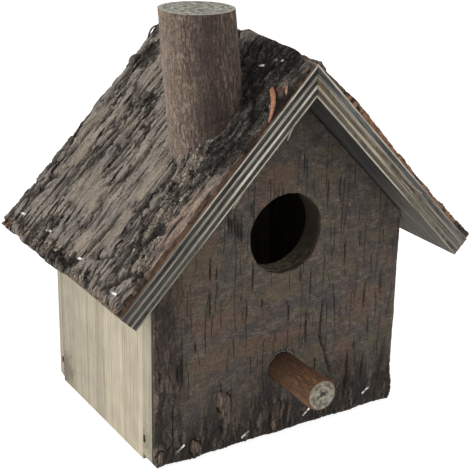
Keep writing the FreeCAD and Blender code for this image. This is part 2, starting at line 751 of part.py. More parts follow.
def roof_brad_heads():
    """Heads flush with the roof boards' tops, over the middle of each gable wall's edge."""
    front_middle = number(FRONT_FACE) + size("front_thickness") / 2
    back_middle = number(FRONT_FACE) + size("body_depth") - size("back_thickness") / 2
    along_wall = number(HALF_WIDTH) / math.cos(math.radians(size("roof_pitch")))
    heads = []
    for side in (LEFT, RIGHT):
        slope = slope_placement(side)
        into = slope.Rotation.multVec(FreeCAD.Vector(0, 0, -1))
        for wall in (front_middle, back_middle):
            for share in ROOF_BRAD_SHARES:
                spot = slope.multVec(FreeCAD.Vector(share * along_wall, side * wall, 0))
                heads.append((spot, into))
    return heads


front_brads = make_brads(
    "front_panel_brads",
    wall_brad_heads(number(FRONT_FACE), FRONT_BRAD_SHARES, FreeCAD.Vector(0, 1, 0)),
)
back_brads = make_brads(
    "back_panel_brads",
    wall_brad_heads(number(FRONT_FACE) + size("body_depth"), BACK_BRAD_SHARES, FreeCAD.Vector(0, -1, 0)),
)
roof_brads = make_brads("roof_board_brads", roof_brad_heads())
left_staples = make_roof_staples("left_roof_staples", LEFT)
right_staples = make_roof_staples("right_roof_staples", RIGHT)
front_staples = make_front_staples()
screw = make_chimney_screw()
log = make_chimney_log()

pieces = [
    front_brads,
    back_brads,
    roof_brads,
    left_staples,
    right_staples,
    front_staples,
    screw,
    make_floor_board(),
    make_perch(),
    cut_by(make_front_panel(), [front_brads, roof_brads, front_staples]),
    cut_by(make_back_panel(), [back_brads, roof_brads]),
    cut_by(make_side("left_side", LEFT), [front_brads, back_brads]),
    cut_by(make_side("right_side", RIGHT), [front_brads, back_brads]),
    cut_by(make_roof_board("left_roof_board", LEFT), [roof_brads, left_staples, screw]),
    cut_by(make_roof_board("right_roof_board", RIGHT), [roof_brads, right_staples]),
    cut_by(make_roof_bark("left_roof_bark", LEFT), [left_staples, log, screw]),
    cut_by(make_roof_bark("right_roof_bark", RIGHT), [right_staples]),
    cut_by(make_front_bark(), [front_staples]),
    cut_by(log, [screw]),
]
doc.recompute()

for item in doc.Objects:
    if "Invalid" in item.State or "Error" in item.State:
        raise ValueError(f"{item.Label} failed to build: {item.State}")
for piece in pieces:
    if piece.Shape.isNull() or not piece.Shape.isValid():
        raise ValueError(f"{piece.Label} has no valid shape")

os.makedirs("parts", exist_ok=True)
for piece in pieces:
    piece.Shape.exportStep(f"parts/{piece.Label}.step")
    print(piece.Label, len(piece.Shape.Solids), "solids", round(piece.Shape.Volume), "mm3")
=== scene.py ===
# %% [markdown]
# # A birdhouse dressed in bark
# The real thing is a small pine box under a plywood roof. Sheets of tree bark cover the front and
# both roof slopes, a piece of branch stands on the roof as a chimney, and a stick is the perch.
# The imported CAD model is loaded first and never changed: it says where everything is.
# What the eye reads as bark, sawn plies or grain is then built over it, piece by piece.

# %% Load the frame
import bmesh
import bpy
import math
import numpy as np
from mathutils import Matrix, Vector
from mathutils.bvhtree import BVHTree


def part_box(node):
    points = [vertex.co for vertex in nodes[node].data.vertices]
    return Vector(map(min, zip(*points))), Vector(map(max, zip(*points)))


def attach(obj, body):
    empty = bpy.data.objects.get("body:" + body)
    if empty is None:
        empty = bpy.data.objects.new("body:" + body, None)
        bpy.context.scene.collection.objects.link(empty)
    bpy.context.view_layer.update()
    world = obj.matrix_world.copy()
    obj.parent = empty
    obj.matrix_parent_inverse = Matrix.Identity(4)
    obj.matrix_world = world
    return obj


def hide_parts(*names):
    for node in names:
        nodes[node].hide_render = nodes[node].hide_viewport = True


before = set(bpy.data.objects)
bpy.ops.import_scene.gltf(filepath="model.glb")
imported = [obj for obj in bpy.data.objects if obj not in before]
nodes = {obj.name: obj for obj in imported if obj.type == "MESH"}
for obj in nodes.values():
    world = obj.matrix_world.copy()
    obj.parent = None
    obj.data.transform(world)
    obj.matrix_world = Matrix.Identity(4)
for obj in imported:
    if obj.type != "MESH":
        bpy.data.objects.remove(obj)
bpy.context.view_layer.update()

MM = 0.001

# %% [markdown]
# ## Measuring the roof
# Everything on the roof lies on one of two slopes, so two helpers turn places on a slope into
# places in the room and back. A place on a slope has three numbers in millimetres: how far down
# from the ridge, how far along from front to back, and how far out of the board.
# The pitch is measured on the CAD board rather than typed in, so that it follows the CAD.

# %% Slope coordinates
LEFT = -1
RIGHT = 1


def node_points(name):
    """A CAD node's vertices, in millimetres."""
    mesh = nodes[name].data
    points = np.empty(len(mesh.vertices) * 3)
    mesh.vertices.foreach_get("co", points)
    return points.reshape(-1, 3) / MM


board_points = node_points("left_roof_board")
ridge_height = board_points[:, 2].max()
eave_corner = board_points[board_points[:, 0].argmin()]
pitch = math.atan2(ridge_height - eave_corner[2], -eave_corner[0])


def slope_places(side, points):
    """Room points as places on a slope: down from the ridge, along, out of the board."""
    sideways = side * points[:, 0]
    rise = points[:, 2] - ridge_height
    down = sideways * math.cos(pitch) - rise * math.sin(pitch)
    out = sideways * math.sin(pitch) + rise * math.cos(pitch)
    return np.stack([down, points[:, 1], out], axis=-1)


def slope_points(side, down, along, out):
    """Places on a slope as room points, in metres."""
    x = side * (down * math.cos(pitch) + out * math.sin(pitch))
    z = ridge_height + out * math.cos(pitch) - down * math.sin(pitch)
    return np.stack([x, along + 0 * x, z], axis=-1) * MM


front_face = node_points("front_panel")[:, 1].min()


def front_points(up, across, out):
    """Places on the front panel's face as room points, in metres."""
    return np.stack([across, front_face - out + 0 * across, up], axis=-1) * MM


print("roof pitch:", round(math.degrees(pitch), 2), "degrees, ridge at", round(ridge_height, 1), "mm")

# %% [markdown]
# ## The camera
# The photograph was taken with a long lens from the house's left front, a little above it.
# Its angle, distance and focal length were found by matching corners of the house to the picture,
# and the tiny roll is part of that match.

# %% Camera
PHOTO_WIDTH = 470
FOCAL_PIXELS = 1179.388
SENSOR_WIDTH = 36.0
CAMERA_AZIMUTH = math.radians(-32.0839)
CAMERA_ELEVATION = math.radians(21.1368)
CAMERA_ROLL = math.radians(1.1466)
CAMERA_PLACE = np.array([-262.677, -412.838, 272.324]) * MM


def looking_matrix(place, backwards, roll=0.0):
    """Place and turn of a camera or lamp: right, up and backwards as the columns."""
    right = np.cross([0.0, 0.0, 1.0], backwards)
    right /= np.linalg.norm(right)
    up = np.cross(backwards, right)
    turned = np.eye(4)
    turned[:3, 0] = math.cos(roll) * right + math.sin(roll) * up
    turned[:3, 1] = math.cos(roll) * up - math.sin(roll) * right
    turned[:3, 2] = backwards
    turned[:3, 3] = place
    return Matrix(turned.tolist())


camera_data = bpy.data.cameras.new("photo_camera")
camera_data.sensor_width = SENSOR_WIDTH
camera_data.lens = FOCAL_PIXELS / PHOTO_WIDTH * SENSOR_WIDTH
camera = bpy.data.objects.new("photo_camera", camera_data)
flat_share = math.cos(CAMERA_ELEVATION)
from_house = [
    math.sin(CAMERA_AZIMUTH) * flat_share,
    -math.cos(CAMERA_AZIMUTH) * flat_share,
    math.sin(CAMERA_ELEVATION),
]
camera.matrix_world = looking_matrix(CAMERA_PLACE, np.array(from_house), CAMERA_ROLL)
scene = bpy.context.scene
scene.collection.objects.link(camera)
scene.camera = camera
scene.view_settings.view_transform = "Standard"
print("lens:", round(camera_data.lens, 1), "mm")

# %% [markdown]
# ## Small tools for shader nodes
# Every finish below is made of shader nodes. These helpers keep that code short: one adds a node and
# sets its sockets, others mix colours and turn a value into a ramp of colours.
# Colours are written as they look on a screen, from 0 to 255, and turned into linear light once.

# %% Node helpers


def connect(tree, value, socket):
    """Link a socket to another, or set its value."""
    if isinstance(value, bpy.types.NodeSocket):
        tree.links.new(value, socket)
    else:
        socket.default_value = value


def add_node(tree, kind, **sockets):
    """A node, with each named socket linked to another socket or set to a value."""
    made = tree.nodes.new(kind)
    for name, value in sockets.items():
        connect(tree, value, made.inputs[name])
    return made


def sum_node(tree, kind, operation, parts):
    """A node that works on its first sockets, and its outputs."""
    made = tree.nodes.new(kind)
    made.operation = operation
    for part, socket in zip(parts, made.inputs):
        connect(tree, part, socket)
    return made.outputs


def math_node(tree, operation, *parts):
    """A sum on one or two values."""
    return sum_node(tree, "ShaderNodeMath", operation, parts)["Value"]


def vector_math(tree, operation, *parts):
    """A sum on vectors: a number for a length, a vector for the rest."""
    outputs = sum_node(tree, "ShaderNodeVectorMath", operation, parts)
    return outputs["Value" if operation == "LENGTH" else "Vector"]


def scaled(tree, value, factor):
    """A value times a number."""
    return math_node(tree, "MULTIPLY", value, factor)


def mixed(tree, *parts):
    """The sum of several values, each with its weight."""
    total = scaled(tree, *parts[0])
    for value, weight in parts[1:]:
        total = math_node(tree, "ADD", total, scaled(tree, value, weight))
    return total


def limits(tree, value, low, high):
    """0 at low, 1 at high, smooth between; low may be the larger."""
    made = tree.nodes.new("ShaderNodeMapRange")
    made.interpolation_type = "SMOOTHSTEP"
    for name, part in (("Value", value), ("From Min", low), ("From Max", high)):
        connect(tree, part, made.inputs[name])
    return made.outputs["Result"]


print("node helpers ready")

# %% Colour helpers


def tone(red, green, blue):
    """A screen colour as linear light with full alpha."""
    channels = np.array([red, green, blue]) / 255
    linear = np.where(channels <= 0.04045, channels / 12.92, ((channels + 0.055) / 1.055) ** 2.4)
    return (*linear.tolist(), 1.0)


def tones(**colours):
    """Named screen colours as linear light."""
    return {label: tone(*colour) for label, colour in colours.items()}


def grey(level):
    """The same share of red, green and blue, with full alpha."""
    return (level, level, level, 1)


def mix_colours(tree, share, first, second, blend="MIX"):
    """First colour where share is 0, second where it is 1."""
    made = tree.nodes.new("ShaderNodeMix")
    made.data_type = "RGBA"
    made.blend_type = blend
    for part, index in ((share, 0), (first, 6), (second, 7)):
        connect(tree, part, made.inputs[index])
    return made.outputs[2]


def ramp(tree, value, stops):
    """A colour for each value, from stops of (value, colour)."""
    made = tree.nodes.new("ShaderNodeValToRGB")
    connect(tree, value, made.inputs[0])
    elements = made.color_ramp.elements
    elements[0].position, elements[0].color = stops[0]
    elements[1].position, elements[1].color = stops[-1]
    for position, colour in stops[1:-1]:
        elements.new(position).color = colour
    return made.outputs[0]


def toned(tree, value, stops, *colours):
    """A ramp of screen colours, one at each stop."""
    return ramp(tree, value, [(stop, tone(*colour)) for stop, colour in zip(stops, colours)])


def flecked(tree, base, value, *stops):
    """A colour times a ramp of factors, given as stops of (value, factor)."""
    return mix_colours(tree, 1.0, base, ramp(tree, value, stops), "MULTIPLY")


print("a middle screen grey in linear light:", round(tone(128, 128, 128)[0], 3))

# %% Finish helpers


def new_finish(name):
    """An empty material: its node tree and its Principled shader."""
    material = bpy.data.materials.new(name)
    material.use_nodes = True
    tree = material.node_tree
    return material, tree, tree.nodes["Principled BSDF"]


def stored(tree, name):
    """What was stored under a name on a mesh's points."""
    made = tree.nodes.new("ShaderNodeAttribute")
    made.attribute_name = name
    return made.outputs


def value_of(tree, name):
    """A number that was stored on a mesh's points."""
    return stored(tree, name)["Fac"]


def grain_of(tree):
    """The stored vector whose X runs along the fibres."""
    return stored(tree, "grain")["Vector"]


def layered(tree, base, *layers):
    """A colour with others over it.

    Each layer has a mask or the name of a stored number, a strength and a colour.
    """
    for mask, strength, colour in layers:
        share = value_of(tree, mask) if isinstance(mask, str) else mask
        base = mix_colours(tree, scaled(tree, share, strength), base, colour)
    return base


def rough_surface(tree, shader, base, roughness, relief, depth, specular=0.25):
    """Join colour, roughness and bump to a dull shader.

    roughness has a value, how far it moves the roughness, and the roughness where it is 0.
    depth is in millimetres, for a relief of 1.
    """
    value, span, start = roughness
    rough = math_node(tree, "ADD", scaled(tree, value, span), start)
    bump = add_node(tree, "ShaderNodeBump", Strength=1.0, Distance=depth * MM, Height=relief)
    tree.links.new(base, shader.inputs["Base Color"])
    tree.links.new(rough, shader.inputs["Roughness"])
    tree.links.new(bump.outputs["Normal"], shader.inputs["Normal"])
    shader.inputs["Specular IOR Level"].default_value = specular


print("finish helpers ready")

# %% [markdown]
# ## Shared effects as node groups
# Wood and bark share five effects. Fibre grain is noise stretched along the fibres.
# Skin is the fine unevenness of any bare plant surface, used for tone and for bump.
# Stain is a slow patchy mask, used for weathering. Chips are flakes side by side with dark gaps, and
# cracks are hair-thin dark lines, found where stretched noise passes its middle value.
# Each is a group that is built once and placed in many finishes. All take a vector in millimetres
# whose X runs along the fibres.

# %% Streaks, skin and stain


def new_group(name, inputs, outputs):
    """A shader node group with a Vector and named values: the group, what it is given, what it puts out."""
    group = bpy.data.node_groups.new(name, "ShaderNodeTree")
    group.interface.new_socket("Vector", in_out="INPUT", socket_type="NodeSocketVector")
    for label, value in inputs.items():
        socket = group.interface.new_socket(label, in_out="INPUT", socket_type="NodeSocketFloat")
        socket.default_value = value
    for label in outputs:
        group.interface.new_socket(label, in_out="OUTPUT", socket_type="NodeSocketFloat")
    given = group.nodes.new("NodeGroupInput").outputs
    return group, given, group.nodes.new("NodeGroupOutput").inputs


def stretched(tree, vector, along, across):
    """A vector divided by a length along the fibres and a width across them."""
    sizes = add_node(tree, "ShaderNodeCombineXYZ", X=along, Y=across, Z=across)
    return vector_math(tree, "DIVIDE", vector, sizes.outputs[0])


def noise(tree, vector, scale, detail, roughness=0.5):
    """A noise texture's value."""
    made = add_node(
        tree, "ShaderNodeTexNoise", Vector=vector, Scale=scale, Detail=detail, Roughness=roughness
    )
    return made.outputs[0]


def make_fibre_group():
    """Fine streaks and broad bands along the fibres."""
    group, given, result = new_group("fibre_grain", {"Length": 30.0, "Width": 1.0}, ["Streaks", "Bands"])
    vector = stretched(group, given["Vector"], given["Length"], given["Width"])
    connect(group, noise(group, vector, 1.0, 3.0, 0.6), result["Streaks"])
    connect(group, noise(group, vector, 0.22, 1.0), result["Bands"])
    return group


def make_skin_group():
    """Unevenness at three sizes, for tone and bump."""
    group, given, result = new_group("bare_skin", {"Size": 1.0}, ["Fine", "Coarse", "Specks"])
    vector = stretched(group, given["Vector"], given["Size"], given["Size"])
    connect(group, noise(group, vector, 2.2, 3.0, 0.65), result["Fine"])
    connect(group, noise(group, vector, 0.5, 3.0, 0.6), result["Coarse"])
    connect(group, limits(group, noise(group, vector, 1.1, 1.0), 0.62, 0.74), result["Specks"])
    return group


def make_stain_group():
    """A slow, soft-edged mask for weathered patches."""
    group, given, result = new_group("weather_stain", {"Size": 20.0, "Spread": 0.5}, ["Mask"])
    vector = stretched(group, given["Vector"], given["Size"], given["Size"])
    cloud = noise(group, vector, 1.0, 3.0, 0.55)
    lifted = math_node(group, "ADD", cloud, math_node(group, "SUBTRACT", given["Spread"], 0.5))
    connect(group, limits(group, lifted, 0.42, 0.66), result["Mask"])
    return group


FIBRE = make_fibre_group()
SKIN = make_skin_group()
STAIN = make_stain_group()
print("soft groups:", FIBRE.name, SKIN.name, STAIN.name)

# %% Chips and cracks
CHIP_WARP = (1.1, 1.1, 1.1)
CRACK_PROBE = 0.12
CRACK_MIDDLE = 0.5
FLAT_THROUGH = (1.0, 1.0, 0.15)


def voronoi(tree, vector, feature):
    """A pattern of cells."""
    made = add_node(tree, "ShaderNodeTexVoronoi", Vector=vector, Scale=1.0)
    made.feature = feature
    return made.outputs


def make_chip_group():
    """Small flakes side by side: a tone for each flake, and the dark gaps between flakes."""
    group, given, result = new_group("bark_chips", {"Length": 4.0, "Width": 1.5}, ["Tone", "Gaps"])
    vector = stretched(group, given["Vector"], given["Length"], given["Width"])
    push = add_node(group, "ShaderNodeTexNoise", Vector=vector, Scale=1.4, Detail=3.0)
    warped = vector_math(group, "MULTIPLY_ADD", push.outputs["Color"], CHIP_WARP, vector)
    cell = add_node(group, "ShaderNodeSeparateColor", Color=voronoi(group, warped, "F1")["Color"])
    connect(group, cell.outputs[0], result["Tone"])
    rim = voronoi(group, warped, "DISTANCE_TO_EDGE")["Distance"]
    connect(group, limits(group, rim, 0.14, 0.03), result["Gaps"])
    return group


def make_crack_group():
    """Thin broken lines along the fibres, all of one width, given in parts of their spacing."""
    group, given, result = new_group("hair_cracks", {"Length": 12.0, "Width": 1.5, "Thin": 0.08}, ["Lines"])
    flat = vector_math(group, "MULTIPLY", given["Vector"], FLAT_THROUGH)
    vector = stretched(group, flat, given["Length"], given["Width"])
    beside = vector_math(group, "ADD", vector, (0.0, CRACK_PROBE, 0.0))
    here = noise(group, vector, 1.0, 1.5)
    change = math_node(group, "SUBTRACT", noise(group, beside, 1.0, 1.5), here)
    steepness = math_node(group, "DIVIDE", math_node(group, "ABSOLUTE", change), CRACK_PROBE)
    reach = math_node(group, "ADD", math_node(group, "MULTIPLY", steepness, given["Thin"]), 0.001)
    away = math_node(group, "ABSOLUTE", math_node(group, "SUBTRACT", here, CRACK_MIDDLE))
    line = limits(group, math_node(group, "DIVIDE", away, reach), 1.0, 0.55)
    broken = limits(group, noise(group, vector, 2.4, 1.0), 0.5, 0.56)
    connect(group, math_node(group, "MULTIPLY", line, broken), result["Lines"])
    return group


CHIPS = make_chip_group()
CRACKS = make_crack_group()
print("sharp groups:", CHIPS.name, CRACKS.name)

# %% Placing groups


def place_group(tree, group, vector, **values):
    """A group in a material, with its own values, and its outputs."""
    made = tree.nodes.new("ShaderNodeGroup")
    made.node_tree = group
    tree.links.new(vector, made.inputs["Vector"])
    for name, value in values.items():
        made.inputs[name].default_value = value
    return made.outputs


def reordered(tree, vector, order):
    """A vector with its parts in another order, such as YXZ."""
    parts = add_node(tree, "ShaderNodeSeparateXYZ", Vector=vector).outputs
    sockets = {axis: parts[source] for axis, source in zip("XYZ", order)}
    return add_node(tree, "ShaderNodeCombineXYZ", **sockets).outputs[0]


def distance_from(tree, grain, middle, axes):
    """The distance from a middle, measured along some axes only."""
    away = vector_math(tree, "SUBTRACT", grain, middle)
    return vector_math(tree, "LENGTH", vector_math(tree, "MULTIPLY", away, axes))


print("groups in the file:", len(bpy.data.node_groups))

# %% [markdown]
# ## Random fields for relief
# Bark is relief first and colour second. The relief is worked out as fields of numbers over a grid:
# smooth noise, noise summed over several sizes, and cracks drawn as tapering lines.
# Every field has a fixed seed, so each run gives the same bark.

# %% Fields
LATTICE = 128
FAR_AWAY = 9.0


def value_noise(u, v, seed):
    """Smooth noise from 0 to 1 over a plane, one swell for each unit."""
    lattice = np.random.default_rng(seed).random((LATTICE, LATTICE))
    u_low = np.floor(u).astype(int)
    v_low = np.floor(v).astype(int)
    u_part = u - u_low
    v_part = v - v_low
    u_part = u_part * u_part * (3 - 2 * u_part)
    v_part = v_part * v_part * (3 - 2 * v_part)
    u_low, v_low = u_low % LATTICE, v_low % LATTICE
    u_high, v_high = (u_low + 1) % LATTICE, (v_low + 1) % LATTICE
    near = lattice[u_low, v_low] * (1 - u_part) + lattice[u_high, v_low] * u_part
    far = lattice[u_low, v_high] * (1 - u_part) + lattice[u_high, v_high] * u_part
    return near * (1 - v_part) + far * v_part


def fractal(u, v, seed, octaves=3):
    """Noise summed over sizes that halve each time, still from 0 to 1."""
    total = 0
    weight = 0
    for octave in range(octaves):
        share = 0.5**octave
        total = total + share * value_noise(u * 2**octave, v * 2**octave, seed + 31 * octave)
        weight += share
    return total / weight


def fade(low, high, value):
    """0 at low, 1 at high, smooth between; low may be the larger."""
    share = np.clip((value - low) / (high - low), 0, 1)
    return share * share * (3 - 2 * share)


def patch(u, v, u_mid, v_mid, u_half, v_half):
    """A soft oval, 1 in its middle."""
    return np.exp(-(((u - u_mid) / u_half) ** 2) - ((v - v_mid) / v_half) ** 2)


def crooked_plates(u, v, seed):
    """Cells round scattered middles: each place's cell, as a number from 0 to 1, and its gap to the rim."""
    u_jitter, v_jitter, values = np.random.default_rng(seed).random((3, LATTICE, LATTICE))
    u_low = np.floor(u).astype(int)
    v_low = np.floor(v).astype(int)
    nearest = np.full(u.shape, FAR_AWAY)
    second = np.full(u.shape, FAR_AWAY)
    owner = np.zeros(u.shape)
    for u_next in (-1, 0, 1):
        for v_next in (-1, 0, 1):
            cell = (u_low + u_next) % LATTICE, (v_low + v_next) % LATTICE
            u_away = u - u_low - u_next - u_jitter[cell]
            v_away = v - v_low - v_next - v_jitter[cell]
            away = np.hypot(u_away, v_away)
            second = np.minimum(second, np.maximum(away, nearest))
            owner = np.where(away < nearest, values[cell], owner)
            nearest = np.minimum(nearest, away)
    return owner, second - nearest


def crack_lines(u, v, lines, seed, sway):
    """Tapering cracks, 1 along each line, given as (u, v) of both ends and a width."""
    mask = np.zeros_like(u)
    swayed = sway * (fractal(u / 7, v / 7, seed, 3) - 0.5)
    for u_start, v_start, u_end, v_end, width in lines:
        length = math.hypot(u_end - u_start, v_end - v_start)
        u_step, v_step = (u_end - u_start) / length, (v_end - v_start) / length
        run = ((u - u_start) * u_step + (v - v_start) * v_step) / length
        aside = (v - v_start) * u_step - (u - u_start) * v_step + swayed
        taper = np.sqrt(np.clip(4 * run * (1 - run), 0, 1))
        mask = np.maximum(mask, taper * np.exp(-((aside / (width * (0.3 + taper))) ** 2)))
    return mask


def scattered_lines(rng, count, u_range, v_range, lengths, widths, drift):
    """Random cracks that run along u."""
    lines = []
    for _ in range(count):
        u_start = rng.uniform(*u_range)
        v_start = rng.uniform(*v_range)
        length = rng.uniform(*lengths)
        aside = rng.uniform(-drift, drift) * length
        lines.append((u_start, v_start, u_start + length, v_start + aside, rng.uniform(*widths)))
    return lines


print("noise check:", round(float(fractal(np.array([3.3]), np.array([7.1]), 5)[0]), 4))

# %% [markdown]
# ## A sheet of bark as a mesh
# Each sheet is a grid of small squares. Squares outside the torn outline are dropped, the rim is
# pulled onto the outline, walls go down to the board, and a flat underside closes the sheet.
# A displaced plane would be quicker, but it would have no thickness, and torn edges show here.
# Fields such as crack depth are stored on the points, so that colour follows relief exactly.

# %% Sheet outline
CORNER_ROUNDS = 6


def main_piece(cells):
    """The cells joined to the middle one, without cells that touch only by a corner."""
    for _ in range(CORNER_ROUNDS):
        block = cells[:-1, :-1] & cells[1:, 1:] & ~cells[1:, :-1] & ~cells[:-1, 1:]
        cells[:-1, :-1] &= ~block
        block = cells[1:, :-1] & cells[:-1, 1:] & ~cells[:-1, :-1] & ~cells[1:, 1:]
        cells[1:, :-1] &= ~block
    reached = np.zeros_like(cells)
    kept = np.argwhere(cells)
    reached[tuple(kept[len(kept) // 2])] = True
    while True:
        grown = reached.copy()
        grown[1:] |= reached[:-1]
        grown[:-1] |= reached[1:]
        grown[:, 1:] |= reached[:, :-1]
        grown[:, :-1] |= reached[:, 1:]
        grown &= cells
        if (grown == reached).all():
            return reached
        reached = grown


def rim_edges(cells, ids):
    """Pairs of grid points along the rim, in the order in which the cells go round."""
    padded = np.pad(cells, 1)
    inner = padded[1:-1, 1:-1]
    sides = [
        (inner & ~padded[1:-1, :-2], ids[:-1, :-1], ids[1:, :-1]),
        (inner & ~padded[2:, 1:-1], ids[1:, :-1], ids[1:, 1:]),
        (inner & ~padded[1:-1, 2:], ids[1:, 1:], ids[:-1, 1:]),
        (inner & ~padded[:-2, 1:-1], ids[:-1, 1:], ids[:-1, :-1]),
    ]
    pairs = [np.stack([start[open_side], end[open_side]], -1) for open_side, start, end in sides]
    return np.concatenate(pairs)


def pull_rim(u, v, gap, step, rim_points):
    """Move rim points onto the line where the gap to the outline is nothing."""
    slope_u, slope_v = np.gradient(gap, step)
    steep = np.maximum(slope_u**2 + slope_v**2, 0.25)
    shift = np.clip(gap / steep, -step, step)
    rim = np.zeros(u.size, bool)
    rim[rim_points] = True
    rim = rim.reshape(u.shape)
    u_new = np.where(rim, u - np.clip(shift * slope_u, -step, step), u)
    v_new = np.where(rim, v - np.clip(shift * slope_v, -step, step), v)
    return u_new, v_new


def grid(u_low, u_high, v_low, v_high, step):
    """Two arrays of grid coordinates that cover a rectangle."""
    u = np.arange(u_low, u_high + step / 2, step)
    v = np.arange(v_low, v_high + step / 2, step)
    return np.meshgrid(u, v, indexing="ij")


print("outline tools ready")

# %% Mesh helpers


def store_values(mesh, label, values):
    """One number for each point of a mesh."""
    data = mesh.attributes.new(label, "FLOAT", "POINT").data
    data.foreach_set("value", np.asarray(values, np.float32))


def store_vectors(mesh, label, vectors):
    """One vector for each point of a mesh."""
    data = mesh.attributes.new(label, "FLOAT_VECTOR", "POINT").data
    data.foreach_set("vector", np.asarray(vectors, np.float32).ravel())


def new_mesh(name, points, faces):
    """A mesh from points in metres and faces."""
    mesh = bpy.data.meshes.new(name)
    mesh.from_pydata(points, [], faces)
    return mesh


def face_outwards(mesh, first_foot=None):
    """Turn all faces outwards.

    Points from first_foot on are feet: the flat underside is filled between them.
    """
    edited = bmesh.new()
    edited.from_mesh(mesh)
    if first_foot is not None:
        feet = [edge for edge in edited.edges if min(vert.index for vert in edge.verts) >= first_foot]
        bmesh.ops.triangle_fill(edited, edges=feet, use_beauty=False, use_dissolve=False)
    bmesh.ops.recalc_face_normals(edited, faces=edited.faces)
    edited.to_mesh(mesh)
    edited.free()


def smooth_faces(mesh, sharp_degrees):
    """Shade a mesh smooth, with edges over an angle kept sharp."""
    mesh.shade_smooth()
    mesh.set_sharp_from_angle(angle=math.radians(sharp_degrees))


def new_piece(name, mesh):
    """An object in the scene that rides on the house."""
    piece = bpy.data.objects.new(name, mesh)
    scene.collection.objects.link(piece)
    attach(piece, "root")
    return piece


print("mesh helpers ready")

# %% Sheet mesh


def sheet_object(name, place, u, v, step, gap, top, fields, sharp_degrees):
    """A closed sheet where gap is above 0, with its relief on top and its fields on its points."""
    inside = gap > 0
    cells = main_piece(inside[:-1, :-1] & inside[1:, :-1] & inside[1:, 1:] & inside[:-1, 1:])
    ids = np.arange(u.size).reshape(u.shape)
    rim = rim_edges(cells, ids)
    rim_points = np.unique(rim)
    u, v = pull_rim(u, v, gap, step, rim_points)
    corners = (ids[:-1, :-1], ids[1:, :-1], ids[1:, 1:], ids[:-1, 1:])
    quads = np.stack([corner[cells] for corner in corners], -1)
    used = np.unique(quads)
    top_of = np.full(u.size, -1)
    top_of[used] = np.arange(len(used))
    foot_of = np.full(u.size, -1)
    foot_of[rim_points] = len(used) + np.arange(len(rim_points))
    walls = np.stack([top_of[rim[:, 1]], top_of[rim[:, 0]], foot_of[rim[:, 0]], foot_of[rim[:, 1]]], -1)
    flat = np.stack([u.ravel(), v.ravel(), top.ravel()], -1)
    grain = np.concatenate([flat[used], flat[rim_points] * (1, 1, 0)])
    points = place(*grain.T)
    mesh = new_mesh(name, points.tolist(), np.concatenate([top_of[quads], walls]).tolist())
    store_vectors(mesh, "grain", grain)
    for label, field in fields.items():
        values = field.ravel()
        store_values(mesh, label, np.concatenate([values[used], values[rim_points]]))
    store_values(mesh, "under", np.arange(len(grain)) >= len(used))
    face_outwards(mesh, len(used))
    smooth_faces(mesh, sharp_degrees)
    return new_piece(name, mesh)


print("sheet tools ready")

# %% [markdown]
# ## Staples first
# Staples pull the bark down where they cross it, so their places have to be known before the bark is
# shaped. They are CAD pieces, and each staple is a loose part of its node's mesh.
# The middle and the crown's height of each one are read from there.

# %% Staple places


def loose_parts(name):
    """The points of each separate solid in a CAD node, in millimetres."""
    mesh = nodes[name].data
    points = node_points(name)
    rounded = np.round(points, 3)
    _, merged = np.unique(rounded, axis=0, return_inverse=True)
    merged = merged.ravel()
    group = np.arange(merged.max() + 1)
    edges = np.array([merged[list(edge.vertices)] for edge in mesh.edges])
    while True:
        lowest = np.minimum(group[edges[:, 0]], group[edges[:, 1]])
        joined = group.copy()
        np.minimum.at(joined, edges[:, 0], lowest)
        np.minimum.at(joined, edges[:, 1], lowest)
        if (joined == group).all():
            break
        group = joined
    return [points[group[merged] == part] for part in np.unique(group)]


def staple_spots(name, to_places):
    """The middle (u, v) and the crown's height of each staple in a node."""
    spots = []
    for part in loose_parts(name):
        places = to_places(part)
        middle = (places.min(axis=0) + places.max(axis=0)) / 2
        spots.append((middle[0], middle[1], places[:, 2].max()))
    return spots


def front_places(points):
    """Room points as places on the front panel's face: up, across, out of it."""
    return np.stack([points[:, 2], points[:, 0], front_face - points[:, 1]], -1)


left_spots = staple_spots("left_roof_staples", lambda part: slope_places(LEFT, part))
right_spots = staple_spots("right_roof_staples", lambda part: slope_places(RIGHT, part))
front_spots = staple_spots("front_bark_staples", front_places)
STAPLE_PROUD = 0.35
STAPLE_DENT = 3.2
DENT_RIM = 1.8


def pressed(top, u, v, spots):
    """Relief with a dent under each staple's crown."""
    for u_mid, v_mid, crown in spots:
        near = fade(STAPLE_DENT + DENT_RIM, STAPLE_DENT, np.hypot(u - u_mid, v - v_mid))
        top = top * (1 - near) + np.minimum(top, crown - STAPLE_PROUD) * near
    return top


print("staples:", len(left_spots), len(right_spots), len(front_spots))

# %% [markdown]
# ## The CAD bark as a base
# The CAD sheets already carry the main plates and furrows, so the visible bark starts from them:
# rays shot down onto a CAD sheet give its height at each place of a grid. Where a staple or the
# chimney goes into the sheet the ray would fall into the hole, so those places are filled in from
# the ones round them.

# %% CAD bark heights
RAY_START = 30.0
FILL_ROUNDS = 160
LEAST_HEIGHT = 0.05


def filled(values, known):
    """A field whose unknown places are filled in from the known ones round them."""
    values = np.where(known, values, values[known].mean())
    for _ in range(FILL_ROUNDS):
        beside = np.roll(values, 1, 0) + np.roll(values, -1, 0)
        around = (beside + np.roll(values, 1, 1) + np.roll(values, -1, 1)) / 4
        values = np.where(known, values, around)
    return values


def ray_heights(name, to_places, u, v):
    """Height of a CAD sheet's top at each place, 0 where a ray misses it."""
    faces = [tuple(face.vertices) for face in nodes[name].data.polygons]
    tree = BVHTree.FromPolygons(to_places(node_points(name)).tolist(), faces)
    heights = np.zeros(u.shape)
    for index in np.ndindex(u.shape):
        hit = tree.ray_cast((u[index], v[index], RAY_START), (0, 0, -1))[0]
        heights[index] = hit.z if hit else 0.0
    return heights


